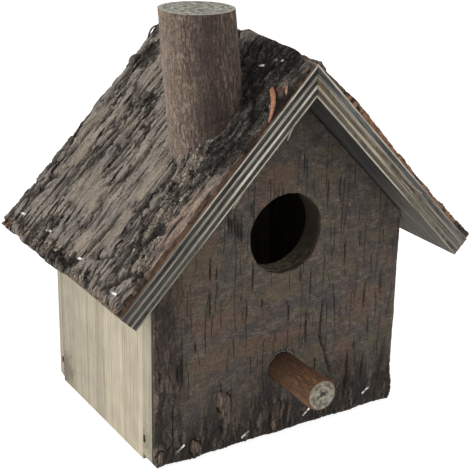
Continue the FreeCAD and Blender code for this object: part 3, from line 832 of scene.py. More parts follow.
def cad_heights(name, to_places, u, v, holes):
    """Height of a CAD sheet's top over a grid, without its holes, given as (u, v, radius)."""
    heights = ray_heights(name, to_places, u, v)
    known = heights > LEAST_HEIGHT
    for u_mid, v_mid, radius in holes:
        known &= np.hypot(u - u_mid, v - v_mid) > radius
    return filled(heights, known)


print("base heights come from", len(nodes["left_roof_bark"].data.polygons), "CAD faces on the left slope")

# %% [markdown]
# ## Roof bark
# The bark on the roof is old and furrowed. Plates run up the slope with dark seams between them,
# some plates have worn to smooth tan wood, and crumbly crust gathers by the chimney and along the
# front edge. The left sheet faces the camera, so its largest patches and seams are put where the
# photograph shows them; the rest is scattered by seed.

# %% Bark patches
log_places = slope_places(LEFT, node_points("chimney_log"))
log_seat = log_places[:, 2].min()
log_rim = log_places[log_places[:, 2] < log_seat + 0.01]
log_foot = (log_rim.min(axis=0) + log_rim.max(axis=0))[:2] / 2
LOG_HOLE = np.hypot(*(log_rim[:, :2] - log_foot).T).max() + 1.5

LEFT_BARK = {
    "seams": [
        (65, 34, 99, 42, 0.8),
        (65, 31, 87, 32, 0.7),
        (57, 19, 80, 20, 0.7),
        (44, 27, 57, 36, 0.7),
        (48, 45, 65, 47, 0.6),
        (96, 48, 110, 58, 0.8),
        (97, 4, 111, 9, 0.9),
        (60, 2, 88, 3, 0.8),
        (86, -9, 114, -9, 0.8),
        (86, -32, 121, -34, 0.8),
        (97, -51, 118, -54, 0.6),
        (70, 4, 80, 4, 0.8),
        (104, -31, 113, -10, 0.5),
    ],
    "smooth": [
        (73, -13, 14, 7),
        (95, -14, 12, 6),
        (90, 20, 9, 16),
        (65, 54, 12, 5),
        (35, 36, 6, 8),
        (78, 44, 14, 6),
        (58, 28, 9, 4),
        (108, -2, 8, 6),
    ],
    "crust": [
        (62, -34, 22, 11),
        (44, 29, 6, 9),
        (88, -38, 16, 9),
        (40, -44, 24, 9),
        (24, 52, 10, 9),
        (119, 20, 5, 44),
        (16, -26, 16, 24),
        (100, -48, 12, 5),
        (26, 8, 18, 6),
    ],
    "dark": [(12, -28, 26, 30), (42, -45, 24, 12), (24, 54, 8, 8)],
    "fresh": [(22, -53, 3, 0.8), (122, 60, 2.5, 3.5)],
    "peeled": [(82, -49, 26, 7), (112, -52, 14, 3)],
    "thin": [(2, -52, 8, 8)],
    "lumps": [
        (1, -4, 7, 14, 4.6),
        (3, -22, 5, 6, 1.6),
        (2, 40, 8, 10, 1.5),
        (49, -33, 5, 7, 2.4),
        (53, -23, 5, 8, 2.4),
    ],
    "rust": [(74, 3.4, 4, 1.8), (17, -45, 2, 3)],
    "holes": [(*log_foot, LOG_HOLE)],
}
RIGHT_BARK = {
    "seams": [],
    "smooth": [(40, 20, 16, 6), (85, -20, 18, 7), (95, 40, 12, 6), (60, -42, 14, 5)],
    "crust": [(20, -30, 14, 12), (70, 15, 18, 9), (119, 0, 5, 50), (105, -40, 10, 9), (12, 30, 10, 20)],
    "dark": [(15, -20, 18, 30), (70, 15, 16, 8)],
    "fresh": [(46, -51, 34, 2.6), (98, -51, 20, 2.0)],
    "peeled": [(70, -50, 30, 4)],
    "thin": [(8, -52, 16, 14), (88, -53, 36, 6)],
    "lumps": [(30, 10, 10, 6, 1.0)],
    "rust": [(60, -48, 10, 2), (30, 20, 5, 3)],
    "holes": [],
}
print("seams placed by hand on the left:", len(LEFT_BARK["seams"]))

# %% [markdown]
# ## Relief of the roof bark
# Old bark breaks into plates, the plates into chips, and crust crumbles. So three sizes of crooked cells
# are laid over the CAD sheet's height, each cell raised or sunk a little, and cracks are cut between and
# across them. Each patch above becomes a mask with a ragged edge that says where one kind of bark gives
# way to another. Sculpting by hand would look as good, but could not be built again from a seed.

# %% Roof bark base
FURROW_BLUR = 12
FURROW_EDGE = (0.45, 1.2)
FURROW_WALL = (0.3, 0.9)
PLATE_ROUNDING = 0.4


def any_patch(u, v, patches):
    """The strongest of several soft ovals."""
    return np.max([patch(u, v, *oval) for oval in patches], axis=0)


def blurred(values, reach):
    """A field averaged over a square that reaches so many grid steps each way."""
    for axis in (0, 1):
        shifts = range(-reach, reach + 1)
        values = sum(np.roll(values, shift, axis) for shift in shifts) / len(shifts)
    return values


def roof_bark_base(node, side, down, along, holes, seed):
    """The CAD sheet's height with flatter plates, its furrows with rough, steep sides as in real bark."""
    jagged = along + 1.4 * (fractal(down / 4, along / 3, seed + 40, 3) - 0.5)
    base = cad_heights(node, lambda points: slope_places(side, points), down, jagged, holes)
    level = blurred(base, FURROW_BLUR)
    sunk = np.maximum(level - base, 0)
    raised = np.maximum(base - level, 0)
    furrow = fade(*FURROW_EDGE, sunk)
    return level + PLATE_ROUNDING * raised - sunk * fade(*FURROW_WALL, sunk), furrow


print("furrows are found against a mean over", 2 * FURROW_BLUR + 1, "grid steps")

# %% Roof bark relief
PLATE_LENGTH, PLATE_WIDTH = 30, 7.5
CHIP_LENGTH, CHIP_WIDTH = 9, 2.6
CRUMB_LENGTH, CRUMB_WIDTH = 4.2, 1.5
SHORT_CRACKS = 100
SHORT_LENGTHS = (5, 17)
SHORT_WIDTHS = (0.22, 0.4)
SHORT_DOWN = (2, 116)
SHORT_ALONG = (-56, 62)
SHORT_DRIFT = 0.1
PLATE_STEP = 0.9
CHIP_STEP = 0.9
JAG_HEIGHT = 0.4
GRIT_HEIGHT = 0.2
FINE_GRIT = 0.05
SEAM_DEPTH = 1.4
HAIR_DEPTH = 0.8
PEEL_DEPTH = 0.6
CRUST_HEIGHT = 1.05
# For each kind of patch: where its mask starts, where it is full, and how ragged its edge is.
MASK_EDGES = {
    "peeled": (0.4, 0.6, 0.5),
    "fresh": (0.4, 0.55, 0.5),
    "smooth": (0.3, 0.75, 0.9),
    "crust": (0.36, 0.6, 0.8),
    "dark": (0.25, 0.75, 0.6),
    "rust": (0.35, 0.6, 0.8),
}


def roof_bark_masks(down, along, plan, seed):
    """Where each kind of bark lies on a slope, from 0 to 1."""
    ragged = fractal(down / 6, along / 4, seed + 7, 3) - 0.5
    masks = {}
    for label, (start, full, roughness) in MASK_EDGES.items():
        masks[label] = fade(start, full, any_patch(down, along, plan[label]) + roughness * ragged)
    masks["crust"] = masks["crust"] * (1 - masks["smooth"]) * (1 - masks["peeled"])
    masks["dark"] = masks["dark"] * (1 - masks["peeled"])
    return masks


def roof_bark_fields(down, along, base, furrow, plan, seed):
    """Relief of one slope's bark, and the masks that colour it."""
    jag = fractal(down / 3.4, along / 2.2, seed, 3) - 0.5
    grit = np.random.default_rng(seed).random(down.shape) - 0.5
    bend = fractal(down / 28, along / 22, seed + 1, 2) - 0.5
    across = along + 7 * bend + 2.4 * jag
    plate, plate_rim = crooked_plates((down + 6 * jag) / PLATE_LENGTH, across / PLATE_WIDTH, seed + 2)
    chip, chip_rim = crooked_plates((down + 4 * jag) / CHIP_LENGTH, across / CHIP_WIDTH, seed + 3)
    crumb, crumb_rim = crooked_plates(down / CRUMB_LENGTH + jag, along / CRUMB_WIDTH - jag, seed + 4)
    masks = roof_bark_masks(down, along, plan, seed)
    crust, peeled = masks["crust"], masks["peeled"]
    whole = np.minimum(1 - 0.9 * masks["smooth"], 1 - 0.8 * peeled)
    opened = fade(0.4, 0.6, value_noise(down / 20, along / 13, seed + 5))
    seam = opened * fade(0.1, 0.05, plate_rim) * whole
    bold = crack_lines(down, along, plan["seams"], seed + 6, 3.2)
    rng = np.random.default_rng(seed + 10)
    short = scattered_lines(
        rng, SHORT_CRACKS, SHORT_DOWN, SHORT_ALONG, SHORT_LENGTHS, SHORT_WIDTHS, SHORT_DRIFT
    )
    bold = np.maximum(bold, crack_lines(down, along, short, seed + 12, 1.4) * whole)
    broken = fade(0.42, 0.56, value_noise(down / 6, along / 2.4, seed + 9))
    chipped = fade(0.4, 0.6, value_noise(down / 14, along / 8, seed + 8) + fade(90, 120, down) * 0.2)
    chipped = np.maximum(chipped, opened * fade(0.5, 0.1, plate_rim)) * whole
    hair = chipped * broken * fade(0.36, 0.2, chip_rim)
    gaps = crust * broken * fade(0.36, 0.18, crumb_rim)
    masks["crack"] = np.maximum.reduce([seam, bold, furrow, 0.85 * hair, 0.6 * gaps])
    masks["speck"] = (plate * (1 - chipped) + chip * chipped) * (1 - crust) + crumb * crust
    steps = PLATE_STEP * (plate - 0.5) + CHIP_STEP * chipped * (chip - 0.5)
    top = base + whole * (steps + JAG_HEIGHT * jag + GRIT_HEIGHT * grit) + FINE_GRIT * grit
    top = top - PEEL_DEPTH * peeled
    top = top - SEAM_DEPTH * np.maximum(seam, bold) * (1 - furrow) - HAIR_DEPTH * hair * (1 - crust)
    top = top + CRUST_HEIGHT * crust * (0.6 * crumb + 0.5 * grit + 1.2 * jag - 0.3)
    return top, masks


print("kinds of patch on a slope:", len(MASK_EDGES))

# %% [markdown]
# ## Cutting the roof sheets
# The outline of each sheet comes from its CAD node, torn a little further in by noise.
# Along the ridge the left sheet laps over the right one in lumps, and at the torn rims the bark gets
# thin and its red-brown inner layer shows.

# %% Roof bark sheets
TEAR_COARSE = 9.0
TEAR_FINE = 2.2
RIM_WIDTH = 2.4
RIDGE_STRIP = 40
STAPLE_HOLE = 4.0
THINNEST_BARK = 0.8
ROOF_SHARP = 30
RIM_SLACK = 0.01
RIDGE_BITE = (-38, -44)
EAVE_BITE = (10, -25)


def tear(run, depth, seed, fine_share=0.4):
    """How far a rim is torn back at each place along it."""
    coarse = value_noise(run / TEAR_COARSE, 0 * run, seed)
    fine = value_noise(run / TEAR_FINE, 0 * run + 3.3, seed + 1)
    return depth * ((1 - fine_share) * coarse + fine_share * fine)


def make_roof_sheet(name, node, side, plan, spots, step, tears, bites, seed):
    """One slope's sheet of bark. tears are the depths at the ridge, eave, front and back.

    bites are how much is torn off the ridge's front corner and the eave's front half. Staples by the
    ridge are half buried.
    """
    places = slope_places(side, node_points(node))
    low, high = places.min(axis=0), places.max(axis=0)
    down, along = grid(low[0], high[0], low[1], high[1], step)
    holes = [(spot[0], spot[1], STAPLE_HOLE) for spot in spots] + list(plan["holes"])
    base, furrow = roof_bark_base(node, side, down, along, holes, seed)
    top, fields = roof_bark_fields(down, along, base, furrow, plan, seed)
    gaps = [
        down - low[0] - tear(along, tears[0], seed + 20, 0.1) - bites[0] * fade(*RIDGE_BITE, along),
        high[0] - down - tear(along, tears[1], seed + 22) - bites[1] * fade(*EAVE_BITE, along),
        along - low[1] - tear(down, tears[2], seed + 24),
        high[1] - along - tear(down, tears[3], seed + 26, 0.25),
    ]
    gap = np.minimum.reduce(gaps) + RIM_SLACK
    rim = fade(RIM_WIDTH, 0, gap)
    frayed = fractal(down / 3, along / 2.5, seed + 28, 2)
    top = top * (1 - 0.45 * rim * frayed) * (1 - 0.6 * any_patch(down, along, plan["thin"]))
    for down_mid, along_mid, down_half, along_half, height in plan["lumps"]:
        lump = patch(down, along, down_mid, along_mid, down_half, along_half)
        top = top + height * lump * (0.6 + 0.8 * frayed)
    dented = [spot for spot in spots if spot[0] > RIDGE_STRIP]
    top = pressed(np.maximum(top, THINNEST_BARK), down, along, dented)
    fields["red"] = 0.7 * rim * fade(0.35, 0.7, frayed)
    piece = sheet_object(
        name, lambda u, v, out: slope_points(side, u, v, out), down, along, step, gap, top, fields, ROOF_SHARP
    )
    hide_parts(node)
    print(name, "faces:", len(piece.data.polygons), "thickest:", round(float(top.max()), 2), "mm")
    return piece


left_bark = make_roof_sheet(
    "left_bark_sheet",
    "left_roof_bark",
    LEFT,
    LEFT_BARK,
    left_spots,
    step=0.42,
    tears=(4.2, 2.6, 2.2, 2.0),
    bites=(2.6, 1.6),
    seed=11,
)
right_bark = make_roof_sheet(
    "right_bark_sheet",
    "right_roof_bark",
    RIGHT,
    RIGHT_BARK,
    right_spots,
    step=0.5,
    tears=(0.4, 2.6, 2.2, 2.0),
    bites=(0, 0),
    seed=47,
)

# %% [markdown]
# ## Front bark
# The bark on the front is thinner and flatter: a young trunk's skin with long upright splits,
# short level breathing marks and ragged flakes near the foot. The entrance and the perch hole go
# through it. Their rims are pulled onto true circles by the same step that trims the outline.

# %% Front measures
BELOW_GABLE = 30
front_low, front_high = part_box("front_bark")
half_width = front_high[0] / MM
foot_height = front_low[2] / MM
gable_top = front_high[2] / MM
panel_points = node_points("front_panel")
shoulder = panel_points[np.isclose(panel_points[:, 0], half_width, atol=0.01)][:, 2].max()
corner_wear = half_width - panel_points[panel_points[:, 2] < foot_height + 0.01][:, 0].max()
hole_points = np.abs(panel_points[:, 0]) < half_width / 3
hole_points &= (panel_points[:, 2] > shoulder / 2) & (panel_points[:, 2] < gable_top - BELOW_GABLE)
entrance_ring = panel_points[hole_points]
ENTRANCE_HEIGHT = (entrance_ring[:, 2].min() + entrance_ring[:, 2].max()) / 2
ENTRANCE_RADIUS = (entrance_ring[:, 0].max() - entrance_ring[:, 0].min()) / 2
perch_low, perch_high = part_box("perch")
PERCH_HEIGHT = (perch_low[2] + perch_high[2]) / 2 / MM
perch_points = node_points("perch")
in_panel = perch_points[perch_points[:, 1] > front_face + 1]
PERCH_ROOT_RADIUS = np.hypot(in_panel[:, 0], in_panel[:, 2] - PERCH_HEIGHT).max()
print("entrance:", round(2 * ENTRANCE_RADIUS, 1), "mm across, at", round(ENTRANCE_HEIGHT, 1), "mm")

# %% Front marks
FRONT_SPLITS = [
    (52, -50.5, 36, -49.5, 0.9),
    (48, -52.0, 37, -51.3, 0.6),
    (110, -26, 98, -25, 0.5),
    (106, -24, 97, -23.5, 0.5),
    (112, -29, 100, -28.6, 0.35),
    (108, -27.4, 99, -27, 0.35),
    (104, -22, 95, -22, 0.3),
    (46, 19, 34, 23, 0.5),
    (36, 22.5, 22, 27, 0.6),
    (62, 21, 44, 20, 0.4),
    (34, 36, 12, 36, 0.4),
    (58, 12, 40, 12.5, 0.4),
    (30, 45, 14, 44, 0.4),
    (66, 44, 50, 43, 0.4),
]
FRONT_FLAKES = [
    (17, -28, 9, 2.6),
    (8, -3, 6, 2.2),
    (4, -43.5, 6, 2.8),
    (3, -60, 5, 2.5),
    (12, -1, 5, 3),
    (25, -31, 5, 1.6),
]
FRONT_BROWN = [
    (60, -58, 30, 4),
    (78, -50, 14, 12),
    (47, -4, 5, 22),
    (56, 44, 8, 14),
    (30, 34, 14, 6),
    (62, -30, 6, 20),
    (96, -40, 8, 8),
    (118, -6, 10, 12),
    (44, -34, 5, 14),
]
print("front splits, flakes and brown patches:", len(FRONT_SPLITS), len(FRONT_FLAKES), len(FRONT_BROWN))

# %% Front bark relief
SLITS = 34
SLIT_LENGTHS = (5, 16)
SLIT_WIDTHS = (0.12, 0.26)
SLIT_UP = (4, 140)
SLIT_ACROSS = (-60, 60)
SLIT_DRIFT = 0.03
SCALE_LENGTH, SCALE_WIDTH = 9, 2.3
SPLIT_DEPTH = 1.0
FLAKE_HEIGHT = 0.7


def front_bark_fields(up, across, base, seed):
    """Relief of the front bark and the masks that colour it, with painted shade under the roof. The trunk's
    fibres run up.
    """
    rng = np.random.default_rng(seed)
    slits = scattered_lines(rng, SLITS, SLIT_UP, SLIT_ACROSS, SLIT_LENGTHS, SLIT_WIDTHS, SLIT_DRIFT)
    crack = crack_lines(up, across, FRONT_SPLITS + slits, seed + 1, 0.7)
    jag = fractal(up / 3.4, across / 2.0, seed + 2, 4) - 0.5
    low_down = fade(36, 6, up + 20 * (fractal(across / 7, up / 20, seed + 3, 2) - 0.5))
    left_edge = fade(-44, -56, across + 6 * jag) * fade(96, 70, up)
    scaly = np.maximum(low_down, 0.8 * left_edge)
    warped_up, warped_across = up + 9 * jag, across + 2.5 * jag
    scale, scale_rim = crooked_plates(warped_up / SCALE_LENGTH, warped_across / SCALE_WIDTH, seed + 4)
    crack = np.maximum(crack, 0.7 * scaly * fade(0.14, 0.03, scale_rim) * fade(0.3, 0.6, scale))
    ragged = fractal(up / 5, across / 3, seed + 6, 3) - 0.5
    oval = any_patch(up, across, FRONT_FLAKES)
    lift = oval + (0.9 * ragged + 0.5 * jag) * fade(0.1, 0.4, oval)
    flake = fade(0.42, 0.48, lift)
    undercut = fade(0.4, 0.6, value_noise(up / 5, across / 3, seed + 8))
    crack = np.maximum(crack, 0.9 * undercut * fade(0.24, 0.4, lift) * (1 - flake))
    brown = fade(0.25, 0.8, any_patch(up, across, FRONT_BROWN) + 0.9 * ragged)
    wrinkle = fractal(up / 1.4, across / 9, seed + 7, 2) - 0.5
    top = base + 0.12 * wrinkle + 0.1 * jag
    top = top + scaly * (0.9 * (scale - 0.5) + 0.5 * jag) + FLAKE_HEIGHT * flake - SPLIT_DEPTH * crack
    dark = 0.75 * low_down * fade(0.75, 0.35, scale) + 0.35 * left_edge * fade(0.6, 0.3, scale)
    # Painted shade: the bark is darkened towards the gable, under the roof.
    dark = np.maximum(dark, 0.4 * fade(105, 150, up + 8 * jag))
    return top, {"crack": crack, "flake": flake, "scaly": scaly, "speck": scale, "dark": dark, "red": brown}


print("scattered slits on the front:", SLITS)

# %% Front bark sheet
FRONT_STEP = 0.5
FRONT_SHARP = 50
FRONT_SEED = 83
CORNER_FLARE = 1.6
FLARE_HEIGHT = 6
EAVE_GAP = 0.5
PERCH_GAP = 0.3
FOOT_TEAR = 0.9
SIDE_TEAR = 0.7


def make_front_sheet():
    """The front's sheet of bark, with the entrance and the perch hole through it."""
    up, across = grid(foot_height, gable_top, -half_width, half_width + CORNER_FLARE, FRONT_STEP)
    holes = [(spot[0], spot[1], STAPLE_HOLE) for spot in front_spots]
    base = cad_heights("front_bark", front_places, up, across, holes)
    top, fields = front_bark_fields(up, across, base, FRONT_SEED)
    rise = math.tan(pitch)
    apex = shoulder + half_width * rise - EAVE_GAP / math.cos(pitch)
    under_roof = (apex - up - rise * np.abs(across)) * math.cos(pitch)
    entrance = np.hypot(across, up - ENTRANCE_HEIGHT) - ENTRANCE_RADIUS
    rough_rim = 0.5 * value_noise(7 * np.arctan2(across, up - ENTRANCE_HEIGHT), 0 * up, 9)
    perch_gap = np.hypot(across, up - PERCH_HEIGHT) - PERCH_ROOT_RADIUS - PERCH_GAP
    flared = half_width + CORNER_FLARE * np.exp(-(((up - foot_height - FLARE_HEIGHT) / FLARE_HEIGHT) ** 2))
    past_side = np.maximum(np.where(across > 0, across - flared, -across - half_width) + corner_wear, 0)
    below = np.maximum(foot_height + corner_wear - up, 0)
    outer_gaps = [
        corner_wear - np.hypot(past_side, below),
        up - foot_height - tear(across, FOOT_TEAR, 61, 0.2),
        flared - across - tear(up, SIDE_TEAR, 63),
        half_width + across - tear(up, SIDE_TEAR, 65),
    ]
    gap = np.minimum.reduce([*outer_gaps, under_roof, entrance - rough_rim, perch_gap]) + RIM_SLACK
    worn_rim = fade(1.6, 0, np.minimum.reduce(outer_gaps))
    top = top * (1 - 0.3 * worn_rim)
    top = pressed(np.maximum(top, THINNEST_BARK), up, across, front_spots)
    fields["red"] = np.maximum(fields["red"], 0.7 * worn_rim)
    piece = sheet_object(
        "front_bark_sheet", front_points, up, across, FRONT_STEP, gap, top, fields, FRONT_SHARP
    )
    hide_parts("front_bark")
    print("front_bark_sheet faces:", len(piece.data.polygons), "thickest:", round(float(top.max()), 2), "mm")
    return piece


front_sheet = make_front_sheet()

# %% [markdown]
# ## Plywood roof boards
# A plywood edge shows its layers: pale plies with the fibres along the edge, dark ones with the
# fibres end-on, each worn back by a different amount. So each board is a stack of thin slabs with
# slightly rough rims, instead of one block with stripes painted on. The slabs are cut to the upright
# mitre where the two boards meet at the ridge.

# %% Plywood boards
PLY_SHARES = (0.08, 0.2, 0.13, 0.19, 0.13, 0.19, 0.08)
PLY_EDGE_STEP = 1.6
PLY_WEAR = 0.28
MITRE_GAP = 0.25


def ply_outline(start, eave, front, back, rng, wear):
    """Points round one ply as (down, along), its free edges roughened inwards."""
    count = int(eave / PLY_EDGE_STEP)
    deep = int((back - front) / PLY_EDGE_STEP)
    runs = []
    for share in np.linspace(0, 1, count, endpoint=False):
        runs.append((start + share * (eave - start), front + wear * rng.random()))
    for share in np.linspace(0, 1, deep, endpoint=False):
        runs.append((eave - wear * rng.random(), front + share * (back - front)))
    for share in np.linspace(0, 1, count, endpoint=False):
        runs.append((eave - share * (eave - start), back - wear * rng.random()))
    runs.append((start, back - wear * rng.random()))
    return np.array(runs)


def make_ply_board(name, node, side, seed):
    """One roof board as a stack of plies."""
    rng = np.random.default_rng(seed)
    places = slope_places(side, node_points(node))
    low, high = places.min(axis=0), places.max(axis=0)
    thickness = -low[2]
    points, faces, plies = [], [], []
    level = 0.0
    for index, share in enumerate(PLY_SHARES):
        below = level - share * thickness
        wear = PLY_WEAR * (0.5 + (index % 2))
        state = rng.integers(1 << 30)
        rims = []
        for height in (level, below):
            start = MITRE_GAP - height * math.tan(pitch)
            outline = ply_outline(start, high[0], low[1], high[1], np.random.default_rng(state), wear)
            rims.append(slope_points(side, outline[:, 0], outline[:, 1], 0 * outline[:, 0] + height))
        first = len(points)
        count = len(rims[0])
        points.extend(rims[0].tolist() + rims[1].tolist())
        upper = list(range(first, first + count))
        lower = list(range(first + count, first + 2 * count))
        faces.append(upper)
        faces.append(lower[::-1])
        for corner in range(count):
            after = (corner + 1) % count
            faces.append([upper[after], upper[corner], lower[corner], lower[after]])
        plies.extend([(index + 0.5) / len(PLY_SHARES)] * (2 * count))
        level = below
    mesh = new_mesh(name, points, faces)
    face_outwards(mesh)
    store_values(mesh, "ply", plies)
    store_vectors(mesh, "grain", slope_places(side, np.array(points) / MM))
    piece = new_piece(name, mesh)
    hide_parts(node)
    print(name, "plies:", len(PLY_SHARES), "faces:", len(mesh.polygons))
    return piece


left_board = make_ply_board("left_ply_board", "left_roof_board", LEFT, 5)
right_board = make_ply_board("right_ply_board", "right_roof_board", RIGHT, 6)

# %% [markdown]
# ## The chimney log and the perch
# Both are pieces of branch: nearly round, with fine bark ribs along the stem, and a sawn end.
# A round form is a grid wrapped into a tube, so one helper makes both from rings of points.
# The log leans, its top is cut level, and its foot follows the roof. Its axis is measured from
# the CAD log's top face and foot.

# %% Branch tools
STEM_SIDES = 200
STEM_SEAM = 12
STEM_SHARP = 50
SAW_MARKS = 0.12
TURN = np.linspace(0, 2 * math.pi, STEM_SIDES, endpoint=False)


def joined(relief):
    """Relief round a stem, its last strip led over into its first."""
    seam = fade(STEM_SIDES - STEM_SEAM, STEM_SIDES, np.arange(STEM_SIDES))
    return relief * (1 - seam) + np.roll(relief[:, ::-1], 1, axis=1) * seam


def end_discs(rim, middle, facing, count, seed):
    """Rings that close in from a rim to near its middle: flat ones, and the same with faint saw marks."""
    flat = np.stack([middle + (rim - middle) * share for share in np.linspace(0.985, 0.02, count)])
    marks = value_noise(flat[..., 0] / 1.3 + 9, flat[..., 1] / 9 + flat[..., 2] / 9, seed) - 0.5
    return flat, flat + np.array(facing) * (SAW_MARKS * marks)[..., None]


def ring_faces(ids):
    """Faces between rings of point numbers, with both ends closed."""
    around = np.roll(ids, -1, axis=1)
    quads = np.stack([ids[:-1], around[:-1], around[1:], ids[1:]], -1).reshape(-1, 4).tolist()
    return quads + [ids[0][::-1].tolist(), ids[-1].tolist()]


def tube_object(name, rings, end_rings, side_grain, end_grain, side_fields):
    """A stem: rings of points up its side, in millimetres, then rings that close in over its sawn end."""
    points = np.concatenate([rings, end_rings]).reshape(-1, 3) * MM
    mesh = new_mesh(name, points.tolist(), ring_faces(np.arange(len(points)).reshape(-1, STEM_SIDES)))
    store_vectors(mesh, "grain", np.concatenate([side_grain, end_grain]).reshape(-1, 3))
    at_end = np.arange(len(points)) >= len(rings) * STEM_SIDES
    store_values(mesh, "sawn", at_end)
    for label, values in side_fields.items():
        store_values(mesh, label, np.concatenate([values.ravel(), np.zeros(at_end.sum())]))
    face_outwards(mesh)
    smooth_faces(mesh, STEM_SHARP)
    return new_piece(name, mesh)


print("points round a stem:", STEM_SIDES)

# %% Chimney log
LOG_ROWS = 84
LOG_RIB = 0.35
LOG_SWELL = 0.9
LOG_CREASE = 0.4
LOG_DISCS = 26
SCREW_REACH = 8
CREASE_HEIGHT = 7
CREASE_WIDTH = 0.7
# Ovals round the log: its middle in degrees and in millimetres up the log, then half of both sizes.
# The first is painted shade on the side facing the front, the second painted shadow on the front at the
# foot, and the third painted light on the side towards the lamp.
LOG_PAINTED_SHADE = (253, 34, 20, 28)
FOOT_PAINTED_SHADOW = (252, 10, 30, 10)
LOG_PAINTED_LIGHT = (165, 30, 34, 60)
LEFT_FACING = np.array([-math.sin(pitch), 0, math.cos(pitch)])

log_points = node_points("chimney_log")
log_level = log_points[:, 2].max()
top_rim = log_points[log_points[:, 2] > log_level - 0.01]
foot_rim = log_points[log_places[:, 2] < log_seat + 0.01]
top_middle = (top_rim.min(axis=0) + top_rim.max(axis=0)) / 2
foot_rim_wide = foot_rim[np.hypot(*(foot_rim - foot_rim.mean(axis=0))[:, :2].T) > SCREW_REACH]
foot_middle = (foot_rim_wide.min(axis=0) + foot_rim_wide.max(axis=0)) / 2
log_length = np.linalg.norm(top_middle - foot_middle)
log_axis = (top_middle - foot_middle) / log_length


def make_log():
    """The leaning log, from its foot on the roof to its level top."""
    aside = np.cross([0, 1, 0], log_axis)
    aside /= np.linalg.norm(aside)
    ahead = np.cross(log_axis, aside)
    top_radius = (top_rim[:, 0].max() - top_rim[:, 0].min()) / 2 * log_axis[2]
    foot_radius = (foot_rim_wide[:, 1].max() - foot_rim_wide[:, 1].min()) / 2
    outward = np.cos(TURN)[:, None] * aside + np.sin(TURN)[:, None] * ahead
    foot_edge = foot_middle + foot_radius * outward
    foot_run = -((foot_edge - foot_middle) @ LEFT_FACING) / (log_axis @ LEFT_FACING)
    top_edge = top_middle + top_radius * outward
    top_run = log_length + (log_level - top_edge[:, 2]) / log_axis[2]
    share = np.linspace(0, 1, LOG_ROWS)[:, None]
    run = foot_run * (1 - share) + top_run * share
    radius = foot_radius + (top_radius - foot_radius) * run / log_length
    wrapped = np.broadcast_to(TURN * foot_radius, run.shape)
    ribs = fractal(run / 11, wrapped / 1.15, 21, 2) - 0.5
    swells = value_noise(run / 26, wrapped / 16, 23) - 0.5
    crease = np.exp(-(((run - CREASE_HEIGHT - 2 * swells) / CREASE_WIDTH) ** 2))
    crease = crease * fade(0.55, 0.8, value_noise(run / 40, wrapped / 9, 24))
    relief = joined(LOG_RIB * ribs + LOG_SWELL * swells - LOG_CREASE * crease)
    reach = (radius + relief)[..., None]
    rings = foot_middle + run[..., None] * log_axis + reach * outward
    side_grain = np.stack([run, wrapped, radius], -1)
    flat_end, end_rings = end_discs(rings[-1], top_middle, (0, 0, 1), LOG_DISCS, 27)
    degrees = np.degrees(np.broadcast_to(TURN, run.shape))
    # Painted shade on the front and at the foot, and painted light on the side towards the lamp.
    dim = patch(degrees, run, *LOG_PAINTED_SHADE) + 0.7 * patch(degrees, run, *FOOT_PAINTED_SHADOW)
    fields = {"dim": np.clip(dim + 0.6 * swells, 0, 1), "pale": patch(degrees, run, *LOG_PAINTED_LIGHT)}
    piece = tube_object("branch_log", rings, end_rings, side_grain, flat_end - top_middle, fields)
    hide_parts("chimney_log")
    print("branch_log radius:", round(float(foot_radius), 2), "to", round(float(top_radius), 2), "mm")
    return piece


chimney = make_log()

# %% [markdown]
# ## The perch
# The perch is a stick in a drilled hole, so it stands square to the front. It uses the same rings as the
# log, along a level axis. Inside the panel it is smooth and just fits its hole, and its tip is worn round.

# %% Perch
PERCH_ROWS = 66
PERCH_RIB = 0.22
PERCH_SWELL = 0.5
PERCH_SLACK = 0.15
PERCH_DISCS = 18
TIP_WEAR = 0.7
RELIEF_START = 4

perch_tip = perch_points[:, 1].min()
perch_root = perch_points[:, 1].max()
perch_tip_radius = perch_points[:, 0].max()


def make_perch():
    """The stick, from its end in the panel to its sawn tip."""
    share = np.linspace(0, 1, PERCH_ROWS)[:, None]
    run = perch_root + (perch_tip - perch_root) * share + 0 * TURN
    outside = fade(front_face, perch_tip, run)
    radius = PERCH_ROOT_RADIUS + (perch_tip_radius - PERCH_ROOT_RADIUS) * outside - PERCH_SLACK
    wrapped = np.broadcast_to(TURN * perch_tip_radius, run.shape)
    ribs = fractal(run / 7, wrapped / 0.8, 31, 2) - 0.5
    swells = value_noise(run / 12 + 50, wrapped / 9, 33) - 0.5
    barked = fade(front_face, front_face - RELIEF_START, run)
    relief = joined((PERCH_RIB * ribs + PERCH_SWELL * swells) * barked)
    relief = relief - TIP_WEAR * fade(1.0, 0, run - perch_tip)
    reach = radius + relief
    rings = np.stack([reach * np.cos(TURN), run, PERCH_HEIGHT + reach * np.sin(TURN)], -1)
    middle = np.array([0, perch_tip, PERCH_HEIGHT])
    flat_end, end_rings = end_discs(rings[-1], middle, (0, 1, 0), PERCH_DISCS, 37)
    end_grain = (flat_end - middle)[..., [0, 2, 1]]
    side_grain = np.stack([run, wrapped, reach], -1)
    degrees = np.degrees(np.broadcast_to(TURN, run.shape))
    upper = fade(220, 130, degrees) * fade(-20, 30, degrees)
    fields = {
        "dim": fade(perch_tip + 4, front_face, run) * np.maximum(upper, 0.3),
        "pale": patch(degrees, run, 215, perch_tip + 8, 34, 12),
    }
    piece = tube_object("perch_branch", rings, end_rings, side_grain, end_grain, fields)
    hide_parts("perch")
    print("perch_branch length:", round(float(perch_root - perch_tip), 1), "mm")
    return piece


perch = make_perch()

# %% [markdown]
# ## Torn fibres, splinters and glue
# A few small things stand off the surfaces: a curl of fresh inner bark beside the chimney, a rolled-up
# lump and stiff fibres at the back, splinters on the plywood edges, and beads of hot glue where the perch
# and the log meet the bark. Each is swept along a short bent path, thick in the middle, thin at the ends.

# %% Swept strands
PATH_STEPS = 14
ROUND_SIDES = 8
END_SHARE = 0.2


